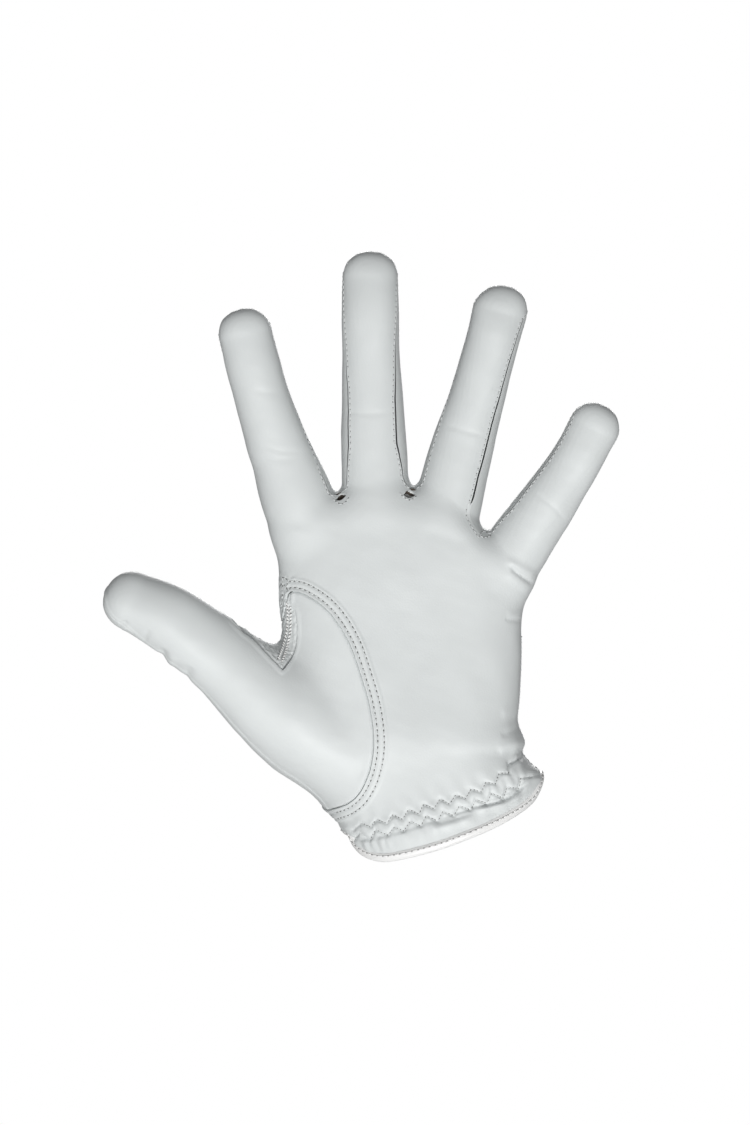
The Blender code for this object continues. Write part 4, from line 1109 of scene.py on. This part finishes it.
# Panels of the fingers: skin, face, material, slot, the seams with a turned edge, and how deep the edge turns.
FINGER_PIECES = ((front_skin, "front", LEATHER, "leather", ("front",), 0.95),
                 (back_skin, "back", LEATHER, "leather", ("back",), 0.95),
                 (strip_skin, "side", SIDE_LEATHER, "side_leather", ("front", "back"), 0.6))
for name in HANDS:
    for whole_skin, face, material, slot_name, seams, depth in FINGER_PIECES:
        for part, skin in finger_parts(whole_skin, name):
            if not len(skin.faces):
                continue
            piece = piece_of(skin, f"{name}_{part}_{face}_leather", material, slot_name, sewn_rim(*seams),
                             depth)
            bend(piece, name, part)
            if face != "side":
                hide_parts(f"{name}_{part}_{face}")
            elif part != "tip":
                sides = [side for side, has in zip(("thumb", "little"), STRIPS[name]) if has]
                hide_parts(*[f"{name}_{part}_{side}_side_strip" for side in sides])

for skin, side in ((thumb_front, "front"), (thumb_back, "back")):
    x = skin.facts["x"]
    for part, half in (("proximal", skin.above(x - THUMB_PART)), ("tip", skin.above(THUMB_PART - x))):
        piece = piece_of(half, f"thumb_{part}_{side}_leather", LEATHER, "leather",
                         sewn_rim("thumb", "quirk", "thumb_split"))
        bend_thumb(piece, part)
        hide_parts(f"thumb_{part}_{side}")
        if part == "proximal":
            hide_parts(f"thumb_base_{side}")
quirk = piece_of(quirk_skin, "thumb_quirk_leather", SIDE_LEATHER, "side_leather",
                 sewn_rim("thumb", "quirk"), 0.6)
bend_thumb(quirk, "proximal")
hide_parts("thumb_quirk")

# ---- the inside, seen through the cuff's mouth --------------------------------------------------------------
inside = open_back.above(-open_back.facts["over"])
inside = inside.above(30 - inside.facts["ts"] + np.where(inside.facts["x"] > -58, 60, 0))
f = inside.facts
room = 1.5 + 1.1 * ease(f["z"], 26, 18) * ease(f["y"], 0, -6) * ease(f["rim"], 1.0, 3.5)
inner = Skin(inside.points - inside.normals * room[:, None], -inside.normals, inside.faces[:, ::-1], f)
lining = mesh_object("inside_face", inner.points, inner.faces, inner.normals, LINING)
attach(lining, "hand")
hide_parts("wrist_elastic")


# ---- rolled binding round the cuff, and round the slit ------------------------------------------------------
def outside_slit(points):
    """Says which points of the rim are not in the slit's mouth."""
    return (points[:, 1] < 0) | (np.abs(points[:, 0] - SLIT_X) > slit_half(points[:, 2]) + 0.2)


rim_points, rim_normals = max(rim_lines, key=lambda line: len(line[0]))
keep = outside_slit(rim_points)
turn = int(np.argmax(~keep))
rim_points, rim_normals = np.roll(rim_points[:-1], -turn, 0), np.roll(rim_normals[:-1], -turn, 0)
keep = outside_slit(rim_points)
rim_points, rim_normals = evenly(rim_points[keep], rim_normals[keep], 1.0)
rim_points = smoothed(rim_points, 6)
_, facing_out, down = frames_along(rim_points, rim_normals)
down = -down if down[:, 2].mean() > 0 else down
middle = rim_points - facing_out * 0.35 + down * 0.1
spots, faces = tube(middle, 1.62, 20, facing_out, flat=0.74)
binding = mesh_object("cuff_binding_roll", spots, as_triangles(faces), None, BINDING)
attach(binding, "hand")
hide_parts("cuff_binding")

edges = whole.lines(np.where(whole.facts["y"] > 0, whole.facts["slit"], 30.0) - 0.1, 20.0)
slit_points, slit_normals = max(edges, key=lambda line: len(line[0]))
slit_points, slit_normals = evenly(slit_points, slit_normals, 0.8)
spots, faces = tube(smoothed(slit_points, 5), 0.95, 10, slit_normals, flat=0.85)
slit_roll = mesh_object("slit_binding_roll", spots, as_triangles(faces), None, BINDING)
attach(slit_roll, "hand")
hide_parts("slit_binding")


# ---- threads ------------------------------------------------------------------------------------------------
def sewn_rows(name, lines, place, thread=THREAD, holes=NEEDLE_HOLE_SHADE, pitch=2.0, share=0.62, radius=0.21,
              lift=0.10, hole=0.26, slant=0.0):
    """Rows of stitches along lines; place is called on each object, which fixes it to a body of the frame or
    bakes its transform.
    """
    threads, dots = [], []
    for k, (line, facing) in enumerate(lines):
        more, dark = sewing(line, facing, pitch, share, radius, lift, hole, k + 1, slant * (-1) ** k)
        threads += more
        dots += dark
    # The needle holes are drawn in painted shade.
    for label, parts, material in (("thread", threads, thread), ("needle_holes_shade", dots, holes)):
        if parts:
            spots, faces = gathered(parts)
            place(mesh_object(f"{name}_{label}", spots, faces, None, material))


def on_hand(obj):
    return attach(obj, "hand")


def on_tab(obj):
    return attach(obj, "tab")


def bending(name, part):
    return lambda obj: bend(obj, name, part)


for label, skin, key in (("front", front_skin, "front"), ("back", back_skin, "back")):
    hand = hand_part(skin)
    rows = hand.lines(np.abs(hand.facts[key]) / hand.facts["lean"] - ROW, 4.0)
    sewn_rows(f"hand_{label}_seam", rows, on_hand, pitch=1.9, radius=0.16, hole=0.2)
    for name in HANDS:
        for part, half in finger_parts(skin, name):
            rows = half.lines(np.abs(half.facts[key]) / half.facts["lean"] - ROW, 4.0)
            sewn_rows(f"{name}_{part}_{label}", rows, bending(name, part), pitch=1.9, radius=0.16, hole=0.2)


def front_run(line, least=0.3):
    """The longest part of a line that faces the palm side."""
    spots, facing = line
    keep = facing[:, 1] < -least
    runs = np.split(np.arange(len(keep)), np.flatnonzero(np.diff(keep.astype(int))) + 1)
    best = max((run for run in runs if keep[run[0]]), key=len, default=np.array([], int))
    return spots[best], facing[best]


palm_part = hand_part(front_skin)
for k, gap in enumerate(BAND_ROWS):
    rows = [front_run(line) for line in palm_part.lines(-palm_part.facts["band"] - gap, 10.0)]
    rows = [line for line in rows if len(line[0]) > 4]
    sewn_rows(f"thumb_seam_{k + 1}", rows, on_hand, pitch=1.96, share=0.5, hole=0.42)
back_part = hand_part(back_skin)
sewn_rows("thumb_seam_back", back_part.lines(-back_part.facts["thumb"] - 1.15, 10.0), on_hand)


def surface_tree(skin):
    """The skin's triangles, ready for finding where a ray hits them."""
    return BVHTree.FromPolygons([Vector(p) for p in skin.points.tolist()], skin.faces.tolist())


def dropped(tree, path):
    """A path in the palm's plane, laid on the palm side of the leather: points and normals."""
    spots, facing = [], []
    direction = Vector((0, 1, 0))
    for x, z in path:
        hit = tree.ray_cast(Vector((x, -60, z)), direction)
        if hit[0] is not None and abs(hit[1].dot(direction)) > 0.45:
            spots.append(hit[0])
            facing.append(hit[1] if hit[1].dot(direction) < 0 else -hit[1])
    return np.array(spots), np.array(facing)


palm_tree = surface_tree(palm_part)
for label, corners in zip(("upper", "lower"), ZIGZAGS):
    rows = []
    for a, b in zip(corners[:-1], corners[1:]):
        spots, facing = dropped(palm_tree, [mix(a, b, t) for t in np.linspace(0, 1, 9)])
        if len(spots) == 9:
            rows.append((spots, facing))
    sewn_rows(f"elastic_{label}", rows, on_hand, pitch=1.15, share=0.60, radius=0.17, lift=0.06, hole=0.20)


def laid_rows(tree, paths, count):
    """Rows for stitches, laid on the leather from paths in the palm's plane; one that misses it is left out."""
    rows = [dropped(tree, through(path, count)) for path in paths]
    return [row for row in rows if len(row[0]) > 4]


CORNER_ROWS = ([(-56.6, 84.6), (-56.5, 80.8), (-56.6, 76.4), (-57.0, 73.4)],
               [(-54.9, 83.6), (-54.9, 81.8), (-55.2, 80.4)])
sewn_rows("thumb_seam_corner", laid_rows(palm_tree, CORNER_ROWS, 14), on_hand, pitch=1.6)

QUIRK_ROWS = ([(-55.2, 77.6), (-54.7, 72.1), (-55.0, 66.0), (-56.4, 60.6), (-58.0, 56.4)],
              [(-53.9, 74.5), (-53.6, 70.0), (-53.9, 65.2), (-55.1, 59.8), (-56.7, 55.4)])
sewn_rows("thumb_quirk", laid_rows(surface_tree(quirk_skin), QUIRK_ROWS, 40),
          lambda obj: bend_thumb(obj, "proximal"), WHITE_THREAD, pitch=1.25, share=0.9, radius=0.30,
          lift=0.30, hole=0.24, slant=0.42)

# Dark discs of painted shade behind the small gaps at two forks, where the inside of the glove lies in shadow,
# and the stitches below each gap.
# Each disc's number of sides, how many times wider it is than its gap, and how deep it lies, in millimetres.
DISC_SIDES, DISC_SPREAD, DISC_DEPTH = 24, 1.5, 1.3


def disc_faces(sides):
    """Triangles of a disc whose last point is its middle."""
    around = np.arange(sides)
    return np.stack([around, (around + 1) % sides, np.full(sides, sides)], 1)


gap_edge = front_skin.points[np.abs(front_skin.facts["holes"]) < 0.3]
for k, ((hole_x, hole_z), half, high, slope) in enumerate(FORK_HOLES):
    turn = np.linspace(0, 2 * math.pi, DISC_SIDES + 1)[:-1]
    level = gap_edge[np.abs(gap_edge[:, 0] - hole_x) < 4, 1].mean() + DISC_DEPTH
    across = np.append(half * np.cos(turn), 0)
    disc = np.stack([hole_x + DISC_SPREAD * across, np.full(DISC_SIDES + 1, level),
                     hole_z + slope * across + DISC_SPREAD * np.append(high * np.sin(turn), 0)], 1)
    # Each disc is painted shade: a dark sheet standing for the shadow inside the glove.
    painted_shade_disc = mesh_object(f"fork_gap_shade_{k + 1}", disc, disc_faces(DISC_SIDES), None, SHADE)
    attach(painted_shade_disc, "hand")

FORK_ROWS = ([(-40.3, 112.4), (-38.4, 110.6), (-36.4, 109.4), (-34.6, 110.5), (-33.4, 112.4)],
             [(-16.6, 113.6), (-14.8, 111.8), (-12.9, 110.8), (-11.0, 111.9), (-9.6, 113.6)],
             [(9.4, 101.2), (10.8, 99.0), (12.9, 98.0), (15.0, 98.8), (16.8, 100.4)])
sewn_rows("fork_corners", laid_rows(palm_tree, FORK_ROWS, 24), on_hand, pitch=1.5, radius=0.17, hole=0.24)

# Its needle holes are a paler painted shade.
edge_row = rim_points + facing_out * 0.80 - down * 0.34
sewn_rows("cuff_edge", [(edge_row, facing_out)], on_hand, WHITE_THREAD, SOFT_HOLE_SHADE, pitch=2.1, share=0.60,
          radius=0.25, lift=0.14, hole=0.36)


# ---- closure: tab, hook and loop pads, badge ----------------------------------------------------------------
full_back = whole.above(-whole.facts["over"])
back_tree = surface_tree(full_back.where(full_back.facts["y"] > 0))


def sheet_on_back(corners, columns, rows, outline=None):
    """A grid of points and normals on the back leather. The four corners are places in x and z, and outline
    narrows the sheet at a share of the way from its first side to its last."""
    low_start, low_end, high_end, high_start = (np.array(c, float) for c in corners)
    grid, face = np.empty((2, columns + 1, rows + 1, 3))
    for i in range(columns + 1):
        u = i / columns
        half = outline(u) if outline else 1.0
        for j in range(rows + 1):
            v = 0.5 + (j / rows - 0.5) * half
            x, z = mix(mix(low_start, low_end, u), mix(high_start, high_end, u), v)
            spot, normal = back_tree.ray_cast(Vector((x, 60, z)), Vector((0, -1, 0)))[:2]
            grid[i, j], face[i, j] = (spot, normal) if spot is not None else ((x, 17, z), (0, 1, 0))
    face[face[..., 1] < 0] *= -1
    for _ in range(10):
        for data in (grid, face):
            data[1:-1] = data[1:-1] * 0.5 + (data[:-2] + data[2:]) * 0.25
            data[:, 1:-1] = data[:, 1:-1] * 0.5 + (data[:, :-2] + data[:, 2:]) * 0.25
    return grid, unit(face)


def grid_rim(n, m):
    """The points round the edge of an n by m grid, in order, by their place in a flat list."""
    around = ([(i, 0) for i in range(n)] + [(n - 1, j) for j in range(1, m)]
              + [(i, m - 1) for i in range(n - 2, -1, -1)] + [(0, j) for j in range(m - 2, 0, -1)])
    return np.array([i * m + j for i, j in around])


def away_from_middle(ring, facing, centre):
    """Directions from each point of a ring, square to it and to its normals, that lead away from a centre."""
    outward = unit(np.cross(unit(np.roll(ring, -1, 0) - np.roll(ring, 1, 0)), facing))
    return outward if ((ring - centre) * outward).sum() > 0 else -outward


def slab(grid, face, low, high, edge):
    """A closed slab between two heights over a grid of points, with slightly rounded edges."""
    n, m = grid.shape[:2]
    index = grid_rim(n, m)
    high = np.broadcast_to(high, (n, m))[..., None]
    low = np.broadcast_to(low, (n, m))[..., None]
    upper, lower = (grid + face * high).reshape(-1, 3), (grid + face * low).reshape(-1, 3)
    facing = face.reshape(-1, 3)[index]
    outward = away_from_middle(upper[index], facing, upper.mean(0))
    thick = (high - low).mean()
    rings = [upper[index] + outward * edge * 0.7 - facing * edge * 0.3,
             upper[index] + outward * edge - facing * thick * 0.5,
             lower[index] + outward * edge * 0.7 + facing * edge * 0.3]
    points = [upper, lower, *rings]
    offsets = np.cumsum([0] + [len(p) for p in points])
    i, j = np.meshgrid(np.arange(n - 1), np.arange(m - 1), indexing="ij")
    a = (i * m + j).ravel()
    top = np.stack([a, a + m, a + m + 1, a + 1], 1)
    quads = [top, top[:, ::-1] + offsets[1]]
    loops = [index, *(offset + np.arange(len(index)) for offset in offsets[2:5]), offsets[1] + index]
    for first, second in zip(loops[:-1], loops[1:]):
        quads.append(np.stack([first, second, np.roll(second, -1), np.roll(first, -1)], 1))
    faces = as_triangles(np.concatenate(quads))
    points = np.concatenate(points)
    corner = points[faces]
    volume = (corner[:, 0] * np.cross(corner[:, 1], corner[:, 2])).sum()
    return points, faces if volume > 0 else faces[:, ::-1]


def inset_loop(grid, face, height, inset):
    """A line round a grid, this far in from its edge, at a height over it."""
    top = grid + face * np.broadcast_to(height, grid.shape[:2])[..., None]
    index = grid_rim(*grid.shape[:2])
    ring, facing = top.reshape(-1, 3)[index], face.reshape(-1, 3)[index]
    ring = ring - away_from_middle(ring, facing, top.mean((0, 1))) * inset
    return [(np.vstack([ring, ring[:1]]), np.vstack([facing, facing[:1]]))]


def layer(name, sheet, low, high, edge, material, body, cad_node):
    """A piece of the closure: a slab on the back leather that stands for a CAD node."""
    spots, faces = slab(*sheet, low, high, edge)
    piece = mesh_object(name, spots, faces, None, material)
    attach(piece, body)
    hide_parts(cad_node)


def round_end(u):
    """How wide the tab is, as a share: it narrows to its rounded free end."""
    into = np.clip((u - 0.66) / 0.34, 0, 1)
    return max(0.30, (1 - into**2.3) ** (1 / 2.3))


def round_corners(u):
    """How wide the badge is, as a share: it has four rounded corners."""
    into = max(0.0, 1 - min(u, 1 - u) / CORNER_SHARE)
    return 1 - CORNER_CUT * (1 - math.sqrt(1 - into**2))


# The corners of each layer, in x and z: its low start, low end, high end and high start.
TAB = [(11.3, 13.3), (-29.0, 4.5), (-27.0, 31.0), (4.8, 39.4)]
LOOP_PAD = [(-11.0, 13.0), (-24.6, 10.2), (-22.9, 27.2), (-9.6, 32.0)]
HOOK_PAD = [(-12.5, 14.5), (-23.6, 11.8), (-22.1, 25.6), (-11.2, 30.0)]
ANCHOR = [(20.8, 15.5), (13.0, 13.6), (6.5, 39.6), (14.4, 41.4)]
BADGE_PLATE = [(-2.0, 14.9), (-18.3, 10.0), (-21.4, 20.5), (-5.1, 25.4)]
# A rounded corner of the badge: its length as a share of the badge's, and how much it takes off the width.
CORNER_SHARE, CORNER_CUT = 0.147, 0.455
COLUMNS = 34
# The tab's thickness, and the anchor's height over the leather.
TAB_THICK, ANCHOR_TOP = 1.25, 1.3

# Each layer lies between two heights over the leather.
layer("loop_pad_pile", sheet_on_back(LOOP_PAD, 16, 12), 0.1, 1.0, 0.35, LOOP, "hand", "loop_pad")
layer("hook_pad_tape", sheet_on_back(HOOK_PAD, 16, 12), 1.2, 2.0, 0.35, HOOK, "tab", "hook_pad")
tab_sheet = sheet_on_back(TAB, COLUMNS, 18, round_end)
# The tab's underside rises from the leather at its hinge to clear the pads.
base = mix(0.5, 2.2, ease(np.linspace(0, 1, COLUMNS + 1)[:, None], 0.0, 0.35))
layer("closure_tab_leather", tab_sheet, base, base + TAB_THICK, 0.5, LEATHER, "tab", "closure_tab")
anchor_sheet = sheet_on_back(ANCHOR, 8, 18)
layer("tab_anchor_leather", anchor_sheet, 0.3, ANCHOR_TOP, 0.3, LEATHER, "hand", "tab_anchor")
sewn_rows("tab_edge", inset_loop(*tab_sheet, base + TAB_THICK, 1.5), on_tab)
sewn_rows("anchor_edge", inset_loop(*anchor_sheet, ANCHOR_TOP, 1.4), on_hand)
layer("blank_badge", sheet_on_back(BADGE_PLATE, COLUMNS, 12, round_corners), 3.3, 4.55, 0.35, BADGE,
      "tab", "tab_badge")


# ---- floor, light and camera --------------------------------------------------------------------------------
def pale_floor():
    """A matt white floor that stays pale where little light reaches it; it lights nothing itself."""
    material, tree, shader = principled("floor_white", {
        "Base Color": (0.86, 0.86, 0.86, 1), "Roughness": 0.9, "Emission Color": (1, 1, 1, 1)})
    seen = node(tree, "ShaderNodeLightPath")
    share = node(tree, "ShaderNodeMath", operation="MULTIPLY")
    share.inputs[1].default_value = 0.5
    tree.links.new(seen.outputs["Is Camera Ray"], share.inputs[0])
    tree.links.new(share.outputs[0], shader.inputs["Emission Strength"])
    return material


FLOOR_RADIUS, FLOOR_X, FLOOR_Z, FLOOR_SIDES = 420.0, -25.0, -215.0, 64
turn = np.arange(FLOOR_SIDES) * 2 * math.pi / FLOOR_SIDES
disc = np.stack([FLOOR_RADIUS * np.cos(turn), FLOOR_RADIUS * np.sin(turn), np.zeros(FLOOR_SIDES)], 1)
disc = np.vstack([disc, [[0, 0, 0]]]) + (FLOOR_X, 0, FLOOR_Z)
floor = mesh_object("floor", disc, disc_faces(FLOOR_SIDES), None, pale_floor())


def area(name, place, size, power, colour=(1.0, 1.0, 1.0)):
    """A round soft light that shines on the middle of the glove."""
    light = bpy.data.lights.new(name, "AREA")
    light.shape = "DISK"
    light.size = size
    light.energy = power
    light.color = colour
    obj = bpy.data.objects.new(name, light)
    obj.location = place
    obj.rotation_euler = (Vector(CENTRE) - Vector(place)).to_track_quat("-Z", "Y").to_euler()
    bpy.context.scene.collection.objects.link(obj)


# The middle of the glove, in metres, and the lights' places, sizes, powers and colours.
CENTRE = (-0.0248, 0.0, 0.0895)
area("key", (0.14, -1.36, -0.50), 0.50, 17.0, (1.0, 0.998, 0.99))
area("front_fill", (-0.75, -1.1, -0.15), 0.8, 3.2)
area("back_light", (0.1, 1.5, 0.7), 1.0, 17.0)

world = bpy.data.worlds.new("studio")
bpy.context.scene.world = world
world.use_nodes = True
tree = world.node_tree
background = tree.nodes["Background"]
background.inputs["Color"].default_value = (0.83, 0.835, 0.84, 1)
background.inputs["Strength"].default_value = 0.24
white = node(tree, "ShaderNodeBackground", {"Color": (1, 1, 1, 1), "Strength": 1.0})
path = node(tree, "ShaderNodeLightPath")
blend = node(tree, "ShaderNodeMixShader")
tree.links.new(path.outputs["Is Camera Ray"], blend.inputs["Fac"])
tree.links.new(background.outputs["Background"], blend.inputs[1])
tree.links.new(white.outputs["Background"], blend.inputs[2])
tree.links.new(blend.outputs["Shader"], tree.nodes["World Output"].inputs["Surface"])

# The camera's sensor, its distance from the glove, and the height that it sees there, in millimetres.
SENSOR, CAMERA_AWAY, SEEN_HEIGHT = 36.0, 1600.0, 388.1
camera = bpy.data.cameras.new("camera")
camera.sensor_width = SENSOR
camera.lens = SENSOR * CAMERA_AWAY / SEEN_HEIGHT
camera.clip_end = 20
eye = bpy.data.objects.new("camera", camera)
eye.location = (CENTRE[0], -CAMERA_AWAY * MM, CENTRE[2])
eye.rotation_euler = (math.radians(90), 0, 0)
bpy.context.scene.collection.objects.link(eye)
scene = bpy.context.scene
scene.camera = eye
scene.view_settings.view_transform = "Standard"
scene.view_settings.look = "None"
